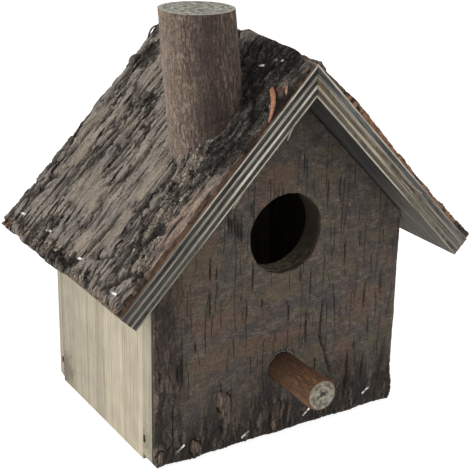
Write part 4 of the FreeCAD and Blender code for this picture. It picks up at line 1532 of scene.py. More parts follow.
def smooth_path(points):
    """A smooth path through a few points."""
    given = np.linspace(0, 1, len(points))
    wanted = np.linspace(0, 1, PATH_STEPS)
    fits = np.polyfit(given, points, min(3, len(points) - 1))
    return np.stack([np.polyval(fits[:, axis], wanted) for axis in range(3)], -1)


def swept(path, radius, flatness, facing):
    """Rings of points round a path, flattened along one direction and thinner at both ends."""
    steps = np.gradient(path, axis=0)
    steps /= np.linalg.norm(steps, axis=1)[:, None]
    aside = np.cross(steps, facing)
    aside /= np.linalg.norm(aside, axis=1)[:, None]
    lift = flatness * np.cross(aside, steps)
    share = np.linspace(0, 1, len(path))
    reach = radius * (END_SHARE + (1 - END_SHARE) * np.sqrt(np.clip(4 * share * (1 - share), 0, 1)))
    turn = np.linspace(0, 2 * math.pi, ROUND_SIDES, endpoint=False)[None, :, None]
    outward = np.cos(turn) * aside[:, None] + np.sin(turn) * lift[:, None]
    return path[:, None] + reach[:, None, None] * outward


def swept_object(name, strands, facing):
    """One piece from several strands, each given as (points in millimetres, radius, flatness)."""
    points = []
    faces = []
    for path, radius, flatness in strands:
        rings = swept(smooth_path(path), radius, flatness, facing)
        faces += ring_faces(len(points) + np.arange(PATH_STEPS * ROUND_SIDES).reshape(PATH_STEPS, -1))
        points += (rings.reshape(-1, 3) * MM).tolist()
    mesh = new_mesh(name, points, faces)
    face_outwards(mesh)
    mesh.shade_smooth()
    piece = new_piece(name, mesh)
    print(name, "strands:", len(strands), "faces:", len(mesh.polygons))
    return piece


print("points round a strand:", ROUND_SIDES)

# %% Shavings and fibres
SHAVINGS = [
    ([(15, -37, -2.6), (18.5, -43.5, 0.9), (22.5, -49.4, 1.3), (30, -52.4, -0.8)], 1.25, 0.4),
    ([(14, -48.4, 0.2), (15.5, -50.4, 0.8), (17.5, -51.6, 0.2)], 0.6, 0.5),
]
FIBRES = [
    ([(26.5, 57.75, 0), (29, 58.75, 0.8), (32, 57.75, 0)], 2.4, 0.7),
    ([(18, 61.25, 0), (15, 61.95, 1.2), (12, 62.15, 1.8), (9, 61.75, 0.6)], 0.45, 1.0),
    ([(15, 60.75, 0), (11, 61.35, 1.1), (7, 60.75, 0.4)], 0.4, 1.0),
    ([(118, 14, 0), (121, 13, 0.8), (123, 12, -0.4)], 0.8, 0.8),
    ([(118.5, 5, 0), (121, 4, 0.7), (123, 2, -0.6)], 0.7, 0.8),
]


def on_left_roof(places):
    """Places (down, along, rise above the CAD bark or its nearest rim) as room points, in millimetres."""
    down, along, rise = np.array(places, float).T
    sheet = slope_places(LEFT, node_points("left_roof_bark"))
    beside = np.clip(along, sheet[:, 1].min() + RIM_WIDTH, sheet[:, 1].max() - RIM_WIDTH)
    heights = ray_heights("left_roof_bark", lambda points: slope_places(LEFT, points), down, beside)
    return slope_points(LEFT, down, along, heights + rise) / MM


def placed(strands, to_points):
    """Strands with room points in place of the places they were given by."""
    return [(to_points(places), radius, flatness) for places, radius, flatness in strands]


shavings = swept_object("bark_shavings", placed(SHAVINGS, on_left_roof), LEFT_FACING)
fibres = swept_object("bark_fibres", placed(FIBRES, on_left_roof), LEFT_FACING)

# %% Splinters
FORWARD = np.array([0, -1.0, 0])
SPLINTERS = [
    ([(RIGHT, 74, -3.4, -0.2), (RIGHT, 79, -3.2, 0.5), (RIGHT, 84, -2.2, 1.0)], 0.35, 0.7),
    ([(RIGHT, 70, -5.4, -0.2), (RIGHT, 76, -5.2, 0.4), (RIGHT, 80, -5.8, 0.8)], 0.3, 0.7),
    ([(LEFT, 22, -8.2, -0.2), (LEFT, 26, -8.8, 0.4), (LEFT, 30, -10.2, 0.5)], 0.35, 0.7),
    ([(LEFT, 52, -8.4, -0.2), (LEFT, 58, -8.7, 0.4), (LEFT, 64, -9.4, 0.4)], 0.3, 0.7),
]
board_front = board_points[:, 1].min()


def on_board_edge(places):
    """Places (side, down, out, ahead) on a roof board's front edge as room points, in millimetres."""
    side, down, out, ahead = np.array(places, float).T
    return slope_points(side, down, board_front - ahead, out) / MM


splinters = swept_object("plywood_splinters", placed(SPLINTERS, on_board_edge), FORWARD)

# %% Glue
BARK_ON_FRONT = 3.2
# Arcs round the perch: start and stop in degrees, out from its root, ahead of the bark.
PERCH_GLUE = [
    ((35, 120, 0.3, 0.0), 0.9, 0.8),
    ((110, 150, 0.0, 0.0), 0.6, 0.8),
    ((60, 110, 1.4, -0.4), 0.7, 0.6),
    ((72, 82, 1.2, 0.3), 1.0, 0.9),
    ((92, 101, 1.0, 0.3), 0.9, 0.9),
    ((112, 124, 0.8, 0.2), 0.8, 0.9),
]
LOG_GLUE = [([(50, -34, 0.4), (46.5, -35, 1.6), (43, -35.5, 0.4)], 1.1, 0.8)]


def round_the_perch(arc):
    """An arc round the perch as room points, in millimetres."""
    start, stop, out, ahead = arc
    turn = np.radians(np.linspace(start, stop, 4))
    radius = PERCH_ROOT_RADIUS + out
    height = PERCH_HEIGHT + radius * np.sin(turn)
    return np.stack([radius * np.cos(turn), front_face - (BARK_ON_FRONT + ahead) + 0 * turn, height], -1)


glue_strands = placed(PERCH_GLUE, round_the_perch) + placed(LOG_GLUE, on_left_roof)
glue = swept_object("glue_beads", glue_strands, FORWARD)

# %% [markdown]
# ## Bark finishes
# The fields stored on the sheets choose between a few colours: grey-brown plates, smooth tan wood,
# dark crumbly crust, black seams and the red-brown inner bark at torn rims. The roof's old bark and
# the front's younger, darker skin each have a function of their own.

# %% Roof bark finish
WIDE = (0.25, 0.5, 0.72)
NARROW = (0.38, 0.5, 0.62)


def roof_bark_finish():
    """Old bark: plates, worn patches, crust, seams and torn red-brown rims."""
    material, tree, shader = new_finish("furrowed_roof_bark")
    grain = grain_of(tree)
    streaks = place_group(tree, FIBRE, grain, Length=7.0, Width=1.1)["Streaks"]
    skin = place_group(tree, SKIN, grain, Size=2.0)
    stain = place_group(tree, STAIN, grain, Size=11.0, Spread=0.5)["Mask"]
    blush = place_group(tree, STAIN, grain, Size=7.0, Spread=0.48)["Mask"]
    flakes = place_group(tree, CHIPS, grain, Length=8.0, Width=2.2)
    crumbs = place_group(tree, CHIPS, grain, Length=2.6, Width=1.4)
    lines = place_group(tree, CRACKS, grain, Length=34.0, Width=4.8, Thin=0.2)["Lines"]
    hatch = place_group(tree, CRACKS, grain, Length=13.0, Width=3.0, Thin=0.16)["Lines"]
    speck = value_of(tree, "speck")
    shade = mixed(tree, (speck, 0.2), (streaks, 0.6), (flakes["Tone"], 0.2))
    rubble = mixed(tree, (crumbs["Tone"], 0.35), (speck, 0.25), (skin["Coarse"], 0.4))
    plates = toned(tree, shade, WIDE, (102, 95, 88), (133, 124, 114), (150, 139, 126))
    worn = toned(tree, shade, WIDE, (116, 106, 95), (134, 123, 109), (146, 134, 117))
    crust = toned(tree, rubble, WIDE, (96, 88, 79), (144, 133, 120), (184, 170, 152))
    gloom = toned(tree, rubble, (0.25, 0.5, 0.75), (44, 41, 38), (72, 68, 63), (122, 114, 107))
    bare = toned(tree, streaks, NARROW, (78, 64, 56), (122, 103, 91), (160, 136, 119))
    torn = toned(tree, streaks, (0.3, 0.6), (86, 70, 61), (136, 112, 98))
    inner = toned(tree, streaks, (0.35, 0.65), (88, 64, 52), (158, 117, 92))
    fresh = toned(tree, streaks, (0.35, 0.65), (158, 108, 78), (212, 164, 132))
    hairs = math_node(tree, "MAXIMUM", lines, scaled(tree, hatch, 0.55))
    for label, share in (("smooth", 0.5), ("under", 1.0)):
        left_over = math_node(tree, "SUBTRACT", 1.0, scaled(tree, value_of(tree, label), share))
        hairs = math_node(tree, "MULTIPLY", hairs, left_over)
    gaps = math_node(tree, "MULTIPLY", crumbs["Gaps"], value_of(tree, "crust"))
    base = layered(
        tree,
        plates,
        (stain, 0.4, tone(104, 101, 99)),
        (blush, 0.35, tone(124, 108, 99)),
        ("smooth", 0.85, worn),
        ("crust", 0.9, crust),
        ("dark", 0.9, gloom),
        ("peeled", 0.8, bare),
        ("red", 0.85, torn),
        ("under", 0.9, inner),
        ("fresh", 0.9, fresh),
        (hairs, 0.95, tone(28, 25, 23)),
        (gaps, 0.5, tone(36, 33, 30)),
        ("rust", 0.8, tone(96, 58, 43)),
        ("crack", 0.9, tone(34, 31, 29)),
    )
    base = flecked(tree, base, skin["Fine"], (0.3, grey(0.62)), (0.7, grey(1.36)))
    relief = mixed(tree, (skin["Fine"], 1.0), (streaks, 0.8), (hairs, -0.8), (gaps, -0.6))
    rough_surface(tree, shader, base, (skin["Coarse"], 0.2, 0.75), relief, 0.6)
    return material


roof_finish = roof_bark_finish()
for sheet in (left_bark, right_bark):
    sheet.data.materials.append(roof_finish)
print("roof bark finish:", roof_finish.name, "with", len(roof_finish.node_tree.nodes), "nodes")

# %% Front bark finish
BROAD_PATCHES = (1 / 24, 1 / 7, 1 / 7)


def front_bark_finish():
    """Young bark: level wrinkles, patches of brown, olive and grey, thin upright slits, scales below."""
    material, tree, shader = new_finish("dark_front_bark")
    grain = grain_of(tree)
    level = reordered(tree, grain, "YXZ")
    broad = vector_math(tree, "MULTIPLY", level, BROAD_PATCHES)
    strokes = place_group(tree, FIBRE, level, Length=5.0, Width=0.9)["Streaks"]
    upright = place_group(tree, FIBRE, grain, Length=9.0, Width=1.1)["Streaks"]
    slits = place_group(tree, CRACKS, grain, Length=52.0, Width=4.5, Thin=0.07)["Lines"]
    wrinkles = place_group(tree, CRACKS, level, Length=20.0, Width=2.4, Thin=0.1)["Lines"]
    scales = place_group(tree, CHIPS, grain, Length=8.0, Width=2.2)
    skin = place_group(tree, SKIN, grain, Size=1.8)
    olive = place_group(tree, STAIN, broad, Size=1.0, Spread=0.5)["Mask"]
    plum = place_group(tree, STAIN, level, Size=6.0, Spread=0.46)["Mask"]
    ash = place_group(tree, STAIN, grain, Size=7.0, Spread=0.47)["Mask"]
    shade = mixed(tree, (strokes, 0.4), (skin["Coarse"], 0.6))
    scale_shade = mixed(tree, (scales["Tone"], 0.35), (value_of(tree, "speck"), 0.25), (upright, 0.4))
    scale = toned(tree, scale_shade, (0.28, 0.5, 0.72), (52, 48, 45), (90, 81, 74), (138, 122, 108))
    pale = toned(tree, upright, NARROW, (84, 72, 62), (124, 108, 94), (160, 141, 123))
    gaps = math_node(tree, "MULTIPLY", scales["Gaps"], value_of(tree, "scaly"))
    base = layered(
        tree,
        toned(tree, shade, (0.36, 0.5, 0.62), (77, 70, 65), (108, 99, 91), (144, 131, 119)),
        (olive, 0.65, tone(120, 110, 86)),
        (plum, 0.5, tone(120, 95, 89)),
        (ash, 0.6, tone(78, 79, 81)),
        ("red", 0.48, tone(132, 103, 86)),
        ("scaly", 0.85, scale),
        # dark is darker scaly bark low down and at the left, and painted shade towards the gable.
        ("dark", 0.8, tone(48, 45, 43)),
        ("flake", 1.0, pale),
        ("under", 0.9, tone(66, 46, 38)),
        (wrinkles, 0.3, tone(58, 52, 48)),
        (gaps, 0.6, tone(34, 31, 29)),
        (slits, 0.7, tone(38, 34, 31)),
        ("crack", 0.95, tone(28, 25, 24)),
    )
    base = flecked(tree, base, skin["Fine"], (0.3, grey(0.58)), (0.7, grey(1.45)))
    relief = mixed(tree, (skin["Fine"], 0.9), (strokes, 0.6), (slits, -0.8), (gaps, -0.6))
    rough_surface(tree, shader, base, (skin["Coarse"], 0.25, 0.6), relief, 0.4)
    return material


front_sheet.data.materials.append(front_bark_finish())
print("front bark finish:", front_sheet.data.materials[0].name)

# %% [markdown]
# ## Branch finishes
# The log has thin grey-brown bark with fine ribs, the perch warmer brown bark. On a sawn end the rings
# show round the pith, and a thin pale rim of inner bark goes round it. Side and end share one material,
# and the field that marks the sawn end chooses between them.

# %% Branch finish
PLAIN_MIDDLE = (0, 0, 0)
ACROSS_END = (1, 1, 0)
RING_WAVE = 3.2
RING_WOBBLE = 1.6
PITH_WOBBLE = 9.0


def branch_side(tree, grain, skin, colours, tick_length, tick_width, pebbled):
    """The colour of bark round a stem with short dark ticks along it, and its fibres."""
    streaks = place_group(tree, FIBRE, grain, Length=1.4 * tick_length, Width=tick_width)["Streaks"]
    stain = place_group(tree, STAIN, grain, Size=9.0, Spread=0.46)["Mask"]
    ochre = place_group(tree, STAIN, grain, Size=15.0, Spread=0.47)["Mask"]
    ticks = place_group(tree, CRACKS, grain, Length=2.5 * tick_length, Width=2.4 * tick_width, Thin=0.16)
    round_stem = reordered(tree, grain, "YXZ")
    wrinkles = place_group(tree, CRACKS, round_stem, Length=14.0, Width=3.4, Thin=0.07)
    pebbles = place_group(tree, CHIPS, grain, Length=0.9 * tick_length, Width=1.5 * tick_width)
    shade = mixed(tree, (streaks, 1 - 0.5 * pebbled), (pebbles["Tone"], 0.5 * pebbled))
    bark = ramp(tree, shade, [(0.28, colours["dark"]), (0.5, colours["bark"]), (0.72, colours["light"])])
    bark = layered(
        tree,
        bark,
        # pale is painted light on the log's side towards the lamp; on the perch, a paler patch low on its
        # left near the tip.
        ("pale", 0.5, colours["light"]),
        (stain, 0.3, colours["stain"]),
        (ochre, 0.5, colours["ochre"]),
        (pebbles["Gaps"], 0.6 * pebbled, colours["tick"]),
        # dim is painted shade on the log's front and at its foot; on the perch, darker towards the root and
        # along the top.
        ("dim", 0.9, colours["stain"]),
        (ticks["Lines"], 0.85, colours["tick"]),
        (wrinkles["Lines"], 0.15, colours["tick"]),
        (skin["Specks"], 0.35, colours["light"]),
    )
    return bark, streaks


def branch_end(tree, grain, skin, colours, end_radius):
    """The colour of a sawn end: mottled rings, a pale rim of inner bark, a crooked pith."""
    distance = distance_from(tree, grain, PLAIN_MIDDLE, ACROSS_END)
    wobbly = math_node(tree, "ADD", distance, scaled(tree, skin["Coarse"], RING_WOBBLE))
    wave = limits(tree, math_node(tree, "SINE", scaled(tree, wobbly, RING_WAVE)), -1.0, 1.0)
    rings = ramp(tree, wave, [(0.0, colours["ring"]), (1.0, colours["wood"])])
    mottle = ramp(tree, skin["Coarse"], [(0.41, colours["ring"]), (0.58, colours["wood"])])
    uneven = scaled(tree, math_node(tree, "SUBTRACT", skin["Coarse"], 0.5), PITH_WOBBLE)
    pith = limits(tree, math_node(tree, "ADD", distance, uneven), 2.2, 1.0)
    rim = limits(tree, distance, end_radius - 1.5, end_radius - 0.9)
    return layered(
        tree,
        mix_colours(tree, 0.75, rings, mottle),
        (skin["Specks"], 0.75, colours["pith"]),
        (rim, 1.0, colours["rim"]),
        (pith, 1.0, colours["pith"]),
    )


def branch_finish(name, colours, end_radius, tick_length, tick_width, pebbled):
    """Bark round a stem and rings on its sawn end.

    pebbled is how much the bark is broken up into small pebbles, from 0 to 1.
    """
    material, tree, shader = new_finish(name)
    grain = grain_of(tree)
    skin = place_group(tree, SKIN, grain, Size=1.4)
    side, streaks = branch_side(tree, grain, skin, colours, tick_length, tick_width, pebbled)
    end = branch_end(tree, grain, skin, colours, end_radius)
    base = mix_colours(tree, value_of(tree, "sawn"), side, end)
    relief = math_node(tree, "ADD", streaks, skin["Fine"])
    rough_surface(tree, shader, base, (skin["Coarse"], 0.3, 0.6), relief, 0.3, specular=0.3)
    return material


print("branch finish ready: side and sawn end")

# %% Log and perch finishes
log_tones = tones(
    dark=(88, 75, 66),
    bark=(117, 101, 90),
    light=(154, 135, 120),
    stain=(76, 62, 57),
    ochre=(126, 109, 88),
    tick=(54, 44, 39),
    wood=(184, 181, 167),
    ring=(72, 70, 63),
    rim=(176, 171, 156),
    pith=(108, 105, 96),
)
perch_tones = tones(
    dark=(72, 49, 35),
    bark=(98, 70, 50),
    light=(170, 120, 82),
    stain=(66, 47, 36),
    ochre=(104, 76, 54),
    tick=(44, 30, 22),
    wood=(218, 210, 192),
    ring=(120, 113, 98),
    rim=(186, 158, 128),
    pith=(78, 77, 70),
)
log_end_radius = top_rim[:, 1].max() - top_middle[1]
log_finish = branch_finish(
    "ribbed_branch_bark", log_tones, log_end_radius, tick_length=3.2, tick_width=0.65, pebbled=1.0
)
perch_finish = branch_finish(
    "brown_perch_bark", perch_tones, perch_tip_radius, tick_length=5.0, tick_width=0.55, pebbled=0.2
)
chimney.data.materials.append(log_finish)
perch.data.materials.append(perch_finish)
print("branch finishes:", log_finish.name, perch_finish.name)

# %% [markdown]
# ## Board finishes
# The pine of the walls is pale and weathered, with straight grain upright. The thin plywood of the back
# and the floor looks much the same, so one function makes all four finishes. Painted shade in the bore
# and on the faces inside the house, a few stains and the floor's dark groove could be painted by hand.
# They are tints round a middle instead, because a tint can take its place from the CAD. CAD pieces have
# no stored grain, so their vector is the object's own coordinates, in millimetres, turned so that X runs up.

# %% Board finish


def upright_grain(tree):
    """The object's coordinates in millimetres, with X upright."""
    place = tree.nodes.new("ShaderNodeTexCoord").outputs["Object"]
    return vector_math(tree, "MULTIPLY", reordered(tree, place, "ZYX"), (1 / MM, 1 / MM, 1 / MM))


def board_finish(name, colours, width, tints):
    """Sawn, weathered board with upright grain. A tint darkens the places around its middle.

    Each tint has a middle and a mask of axes, as (up, y, x) in millimetres, the distance where it
    starts, the distance where it is full, and its colour.
    """
    material, tree, shader = new_finish(name)
    grain = upright_grain(tree)
    fibre = place_group(tree, FIBRE, grain, Length=90.0, Width=width)
    fine = place_group(tree, FIBRE, grain, Length=18.0, Width=0.7)
    skin = place_group(tree, SKIN, grain, Size=1.4)
    blotch = place_group(tree, SKIN, grain, Size=5.0)
    stain = place_group(tree, STAIN, grain, Size=34.0, Spread=0.44)
    bands = ramp(tree, fibre["Bands"], [(0.36, colours["late"]), (0.62, colours["early"])])
    lines = ramp(tree, fibre["Streaks"], [(0.3, colours["line"]), (0.5, grey(1))])
    base = mix_colours(tree, 0.55, bands, lines, "MULTIPLY")
    stained = (stain["Mask"], 0.4, colours["stain"])
    speckled = (skin["Specks"], 0.12, colours["late"])
    base = layered(tree, base, stained, speckled)
    uneven = mixed(tree, (fine["Streaks"], 0.6), (blotch["Coarse"], 0.4))
    base = flecked(tree, base, uneven, (0.38, (0.84, 0.84, 0.83, 1)), (0.62, grey(1.14)))
    swing = math_node(tree, "SUBTRACT", skin["Coarse"], 0.5)
    for middle, axes, start, full, colour in tints:
        ragged = scaled(tree, swing, 1.5 * (start - full))
        distance = math_node(tree, "ADD", distance_from(tree, grain, middle, axes), ragged)
        base = mix_colours(tree, limits(tree, distance, start, full), base, colour, "MULTIPLY")
    relief = math_node(tree, "ADD", fibre["Streaks"], skin["Fine"])
    rough_surface(tree, shader, base, (fibre["Streaks"], 0.3, 0.55), relief, 0.15)
    return material


def dress(names, finish):
    """Give CAD nodes a finish in place of their plain one."""
    for name in names:
        nodes[name].data.materials.clear()
        nodes[name].data.materials.append(finish)


print("board finish ready")

# %% Wall finishes
# Painted shade for faces inside the house, with a thin shadow line where each meets a visible edge.
INSIDE_SHADE = grey(0.5)
UP_AND_DEEP = (1, 1, 0)
UP = (1, 0, 0)
DEEP = (0, 1, 0)
SIDEWAYS = (0, 0, 1)
ROUND_THE_BORE = (1, 0, 1)
# Painted shade in the entrance's bore; its middle sits 2 mm high, so the lit bottom gets less of it.
BORE_MIDDLE = (ENTRANCE_HEIGHT + 2, 0, 0)
BORE_SHADE = (0.22, 0.185, 0.17, 1)
floor_places = node_points("floor_board")
floor_top = floor_places[:, 2].max()
wall_inside = np.abs(node_points("left_side")[:, 0]).min()
back_inside = node_points("back_panel")[:, 1].min()
panel_back = panel_points[:, 1].max()
groove_up = (floor_places[:, 2].min() + floor_top) / 2
groove_half = floor_top - groove_up
groove_depth = panel_back - floor_places[:, 1].min()
GROOVE_MIDDLE = (groove_up, panel_back - groove_depth / 2, 0)
GROOVE_AXES = (1 / groove_half, 2 / groove_depth, 0)
side_finish = board_finish(
    "sawn_pine",
    tones(early=(192, 181, 160), late=(178, 167, 147), line=(150, 138, 116), stain=(178, 168, 150)),
    1.0,
    [
        ((0, 64, 0), DEEP, 50.5, 49.5, (0.82, 0.825, 0.83, 1)),
        ((0, 18, 0), DEEP, 6, 2.5, (0.88, 0.89, 0.88, 1)),
        ((0, 64, 0), DEEP, 36, 22, grey(0.87)),
        # Painted shade on the walls' inside faces.
        (PLAIN_MIDDLE, SIDEWAYS, wall_inside + 0.6, wall_inside + 0.1, INSIDE_SHADE),
        ((8, 57, 0), UP_AND_DEEP, 14, 3, (0.5, 0.48, 0.45, 1)),
        ((50, 58.7, 0), DEEP, 3.4, 0.5, grey(0.78)),
    ],
)
panel_finish = board_finish(
    "greyed_pine",
    tones(early=(168, 161, 141), late=(152, 146, 129), line=(192, 184, 166), stain=(156, 153, 136)),
    0.9,
    [
        # Painted shade in the entrance's bore.
        (BORE_MIDDLE, ROUND_THE_BORE, ENTRANCE_RADIUS + 3.8, ENTRANCE_RADIUS + 0.8, BORE_SHADE),
        ((11, front_face + 7, 0), UP_AND_DEEP, 9, 3, (0.7, 0.69, 0.66, 1)),
        (GROOVE_MIDDLE, GROOVE_AXES, 1.45, 1.3, grey(0.08)),
    ],
)
dress(("left_side", "right_side"), side_finish)
dress(("front_panel",), panel_finish)
print("floor groove:", round(2 * groove_half, 2), "x", round(groove_depth, 2), "mm")

# %% Back and floor finishes
back_finish = board_finish(
    "thin_plywood_face",
    tones(early=(198, 188, 168), late=(184, 173, 153), line=(206, 196, 176), stain=(172, 165, 149)),
    2.0,
    [
        (PLAIN_MIDDLE, SIDEWAYS, 52, 56, (0.76, 0.76, 0.77, 1)),
        # Painted shade on the back's inside face, and a thin shadow line along its edges.
        ((0, back_inside, 0), DEEP, 0.5, 0.1, INSIDE_SHADE),
    ],
)
floor_finish = board_finish(
    "floor_plywood",
    tones(early=(186, 174, 150), late=(166, 154, 132), line=(196, 184, 160), stain=(150, 142, 124)),
    2.0,
    [
        (PLAIN_MIDDLE, SIDEWAYS, 46, 54, grey(0.05)),
        # Painted shade on the floor's top, inside the house.
        ((floor_top, 0, 0), UP, 0.5, 0.1, INSIDE_SHADE),
    ],
)
dress(("back_panel",), back_finish)
dress(("floor_board",), floor_finish)
print("board finishes:", side_finish.name, panel_finish.name, back_finish.name, floor_finish.name)

# %% [markdown]
# ## Finishes of the small pieces
# Fresh inner bark is orange and dull, loose fibres are dark, splinters are pale, and set glue is dark
# and shiny. They differ only in two tones and in gloss, so one function with upright streaks makes all
# four.

# %% Small piece finishes


def strand_finish(name, dark, light, roughness, specular):
    """Streaky fibre or smooth glue, from its tones and its gloss."""
    material, tree, shader = new_finish(name)
    grain = upright_grain(tree)
    streaks = place_group(tree, FIBRE, grain, Length=5.0, Width=0.6)["Streaks"]
    skin = place_group(tree, SKIN, grain, Size=1.0)
    base = toned(tree, streaks, (0.36, 0.62), dark, light)
    relief = mixed(tree, (streaks, 0.7), (skin["Fine"], 0.3))
    rough_surface(tree, shader, base, (skin["Coarse"], 0.2, roughness), relief, 0.15, specular)
    return material


for piece, finish in (
    (shavings, strand_finish("fresh_inner_bark", (104, 68, 46), (186, 134, 100), 0.6, 0.3)),
    (fibres, strand_finish("stiff_bark_fibre", (44, 39, 36), (98, 88, 80), 0.7, 0.25)),
    (splinters, strand_finish("pale_splinter", (164, 156, 138), (214, 205, 186), 0.7, 0.25)),
    (glue, strand_finish("hot_glue", (26, 24, 23), (62, 58, 54), 0.04, 0.8)),
):
    piece.data.materials.append(finish)
    print(piece.name, "is finished with", finish.name)

# %% [markdown]
# ## Plywood finishes
# The plies alternate: one shows its fibres along the edge and stays pale, the next shows their ends and
# goes dark. Stripes could be painted by height, but each ply is a slab with its number stored, so a
# stepped ramp over that number is exact. The plies weather towards the eave, the bark has stained the
# top, and the underside is one plain ply with painted shade towards the ridge. The two boards look
# different, so each has its own tones.

# %% Plywood finish
UNDER_BARK = tone(104, 88, 74)


def plywood_finish(name, ply_tones, weathered, shaded_under_ridge, under_eave):
    """Each ply in its own tone from the top down, weathered towards the eave, with a plain underside and
    painted shade towards the ridge.

    The top face is stained by the bark that lies on it.
    """
    material, tree, shader = new_finish(name)
    grain = grain_of(tree)
    streaks = place_group(tree, FIBRE, grain, Length=26.0, Width=0.8)["Streaks"]
    skin = place_group(tree, SKIN, grain, Size=1.6)
    stain = place_group(tree, STAIN, grain, Size=18.0, Spread=0.5)["Mask"]
    starts = [index / len(ply_tones) for index in range(len(ply_tones))]
    plies = toned(tree, value_of(tree, "ply"), starts, *ply_tones)
    plies.node.color_ramp.interpolation = "CONSTANT"
    facing = add_node(tree, "ShaderNodeNewGeometry").outputs["True Normal"]
    height = add_node(tree, "ShaderNodeSeparateXYZ", Vector=facing).outputs["Z"]
    down = add_node(tree, "ShaderNodeSeparateXYZ", Vector=grain).outputs["X"]
    near_eave = limits(tree, down, 40.0, 120.0)
    weather = math_node(tree, "MAXIMUM", scaled(tree, near_eave, 0.68), scaled(tree, stain, 0.3))
    base = layered(
        tree,
        plies,
        (weather, 1.0, tone(*weathered)),
        # Downward faces: the underside's tone, with painted shade towards the ridge.
        (limits(tree, height, -0.3, -0.6), 1.0, toned(tree, near_eave, (0.2, 0.8), shaded_under_ridge, under_eave)),
        (limits(tree, height, 0.3, 0.6), 1.0, UNDER_BARK),
    )
    base = flecked(tree, base, streaks, (0.36, grey(0.5)), (0.62, grey(1.6)))
    relief = math_node(tree, "ADD", streaks, skin["Fine"])
    rough_surface(tree, shader, base, (skin["Coarse"], 0.3, 0.6), relief, 0.3)
    return material


left_plies = [
    (222, 217, 203),
    (68, 66, 62),
    (206, 200, 186),
    (74, 71, 65),
    (232, 226, 208),
    (82, 78, 71),
    (214, 208, 190),
]
right_plies = [
    (214, 208, 192),
    (108, 110, 109),
    (190, 181, 165),
    (128, 115, 98),
    (194, 184, 160),
    (118, 108, 95),
    (214, 206, 185),
]
left_ply_finish = plywood_finish(
    "left_plywood", left_plies, weathered=(90, 88, 83), shaded_under_ridge=(88, 84, 77), under_eave=(104, 99, 91)
)
right_ply_finish = plywood_finish(
    "right_plywood",
    right_plies,
    weathered=(134, 128, 119),
    shaded_under_ridge=(78, 78, 76),
    under_eave=(142, 138, 129),
)
for board, finish in ((left_board, left_ply_finish), (right_board, right_ply_finish)):
    board.data.materials.append(finish)
    print(board.name, "is finished with", finish.name)

# %% [markdown]
# ## Steel
# Staples and brads are small, but the staples glint in the picture. A metal's look is mostly its
# roughness, so that is what varies here, with a little dulling in spots.

# %% Steel finish


def steel_finish(name, colour, dull):
    """Drawn steel wire with faint dull spots."""
    material, tree, shader = new_finish(name)
    skin = place_group(tree, SKIN, upright_grain(tree), Size=1.2)
    base = mix_colours(tree, limits(tree, skin["Coarse"], 0.46, 0.56), colour, dull)
    rough = math_node(tree, "ADD", scaled(tree, skin["Coarse"], 0.25), 0.25)
    tree.links.new(base, shader.inputs["Base Color"])
    tree.links.new(rough, shader.inputs["Roughness"])
    shader.inputs["Metallic"].default_value = 1.0
    return material


wire_finish = steel_finish("staple_wire_steel", tone(226, 226, 224), tone(118, 114, 108))
brad_finish = steel_finish("brad_steel", tone(176, 174, 170), tone(120, 112, 104))
dress(("left_roof_staples", "right_roof_staples", "front_bark_staples"), wire_finish)
dress(("front_panel_brads", "back_panel_brads", "roof_board_brads", "chimney_screw"), brad_finish)
print("steel finishes:", wire_finish.name, brad_finish.name)

# %% [markdown]
# ## Floor, sky and light
# The photograph has a plain white ground. The floor and the sky look white to the camera, while the
# floor still takes the house's shadow. One large soft lamp stands at the left, because the left wall
# and the left of the log are the brightest, and the sky fills the rest at a plain level.

# %% Stage
FLOOR_SIZE = 4.0
FLOOR_COLOUR = grey(0.5)
FLOOR_GLOW = 0.85
SKY_LEVEL = 0.6


def looked_at(tree):
    """1 for rays that show the stage itself, in the picture or in metal, and 0 for light."""
    path = tree.nodes.new("ShaderNodeLightPath").outputs
    seen = math_node(tree, "ADD", path["Is Camera Ray"], path["Is Glossy Ray"])
    seen = math_node(tree, "ADD", seen, path["Is Transmission Ray"])
    return math_node(tree, "MINIMUM", seen, 1.0)


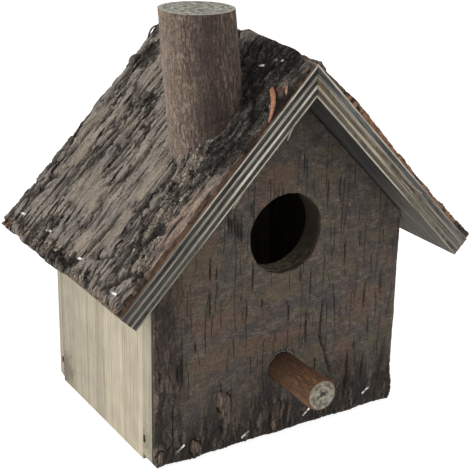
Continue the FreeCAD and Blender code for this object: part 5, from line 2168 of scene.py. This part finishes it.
def make_floor():
    """A wide plain floor that stays white and keeps the shadow."""
    half = FLOOR_SIZE / 2
    corners = [(-half, -half, 0), (half, -half, 0), (half, half, 0), (-half, half, 0)]
    mesh = new_mesh("floor", corners, [(0, 1, 2, 3)])
    floor = bpy.data.objects.new("floor", mesh)
    scene.collection.objects.link(floor)
    material, tree, _ = new_finish("white_floor")
    tree.nodes.clear()
    matt = add_node(tree, "ShaderNodeBsdfDiffuse", Color=FLOOR_COLOUR)
    glow = add_node(tree, "ShaderNodeEmission", Strength=FLOOR_GLOW)
    both = tree.nodes.new("ShaderNodeAddShader")
    tree.links.new(matt.outputs[0], both.inputs[0])
    tree.links.new(glow.outputs[0], both.inputs[1])
    choose = tree.nodes.new("ShaderNodeMixShader")
    for source, socket in zip((looked_at(tree), matt.outputs[0], both.outputs[0]), choose.inputs):
        tree.links.new(source, socket)
    output = tree.nodes.new("ShaderNodeOutputMaterial")
    tree.links.new(choose.outputs[0], output.inputs["Surface"])
    mesh.materials.append(material)


def make_sky():
    """White where it is looked at, soft fill light elsewhere."""
    world = bpy.data.worlds.new("studio_sky")
    scene.world = world
    world.use_nodes = True
    tree = world.node_tree
    backdrop = tree.nodes["Background"]
    backdrop.inputs["Color"].default_value = grey(1)
    level = add_node(tree, "ShaderNodeMix", Factor=looked_at(tree), A=SKY_LEVEL, B=1.0)
    tree.links.new(level.outputs["Result"], backdrop.inputs["Strength"])


make_floor()
make_sky()
print("sky level:", SKY_LEVEL)

# %% Lamp
LAMP_PLACE = np.array([-1.25, 0.3, 0.62])
LAMP_TARGET = np.array([0, 0, 0.08])
LAMP_SIZE = 0.8
LAMP_WATTS = 15

lamp_data = bpy.data.lights.new("left_softbox", "AREA")
lamp_data.size = LAMP_SIZE
lamp_data.energy = LAMP_WATTS
lamp = bpy.data.objects.new("left_softbox", lamp_data)
lamp_away = LAMP_PLACE - LAMP_TARGET
lamp.matrix_world = looking_matrix(LAMP_PLACE, lamp_away / np.linalg.norm(lamp_away))
scene.collection.objects.link(lamp)
print("lamp:", lamp.name, LAMP_WATTS, "W")
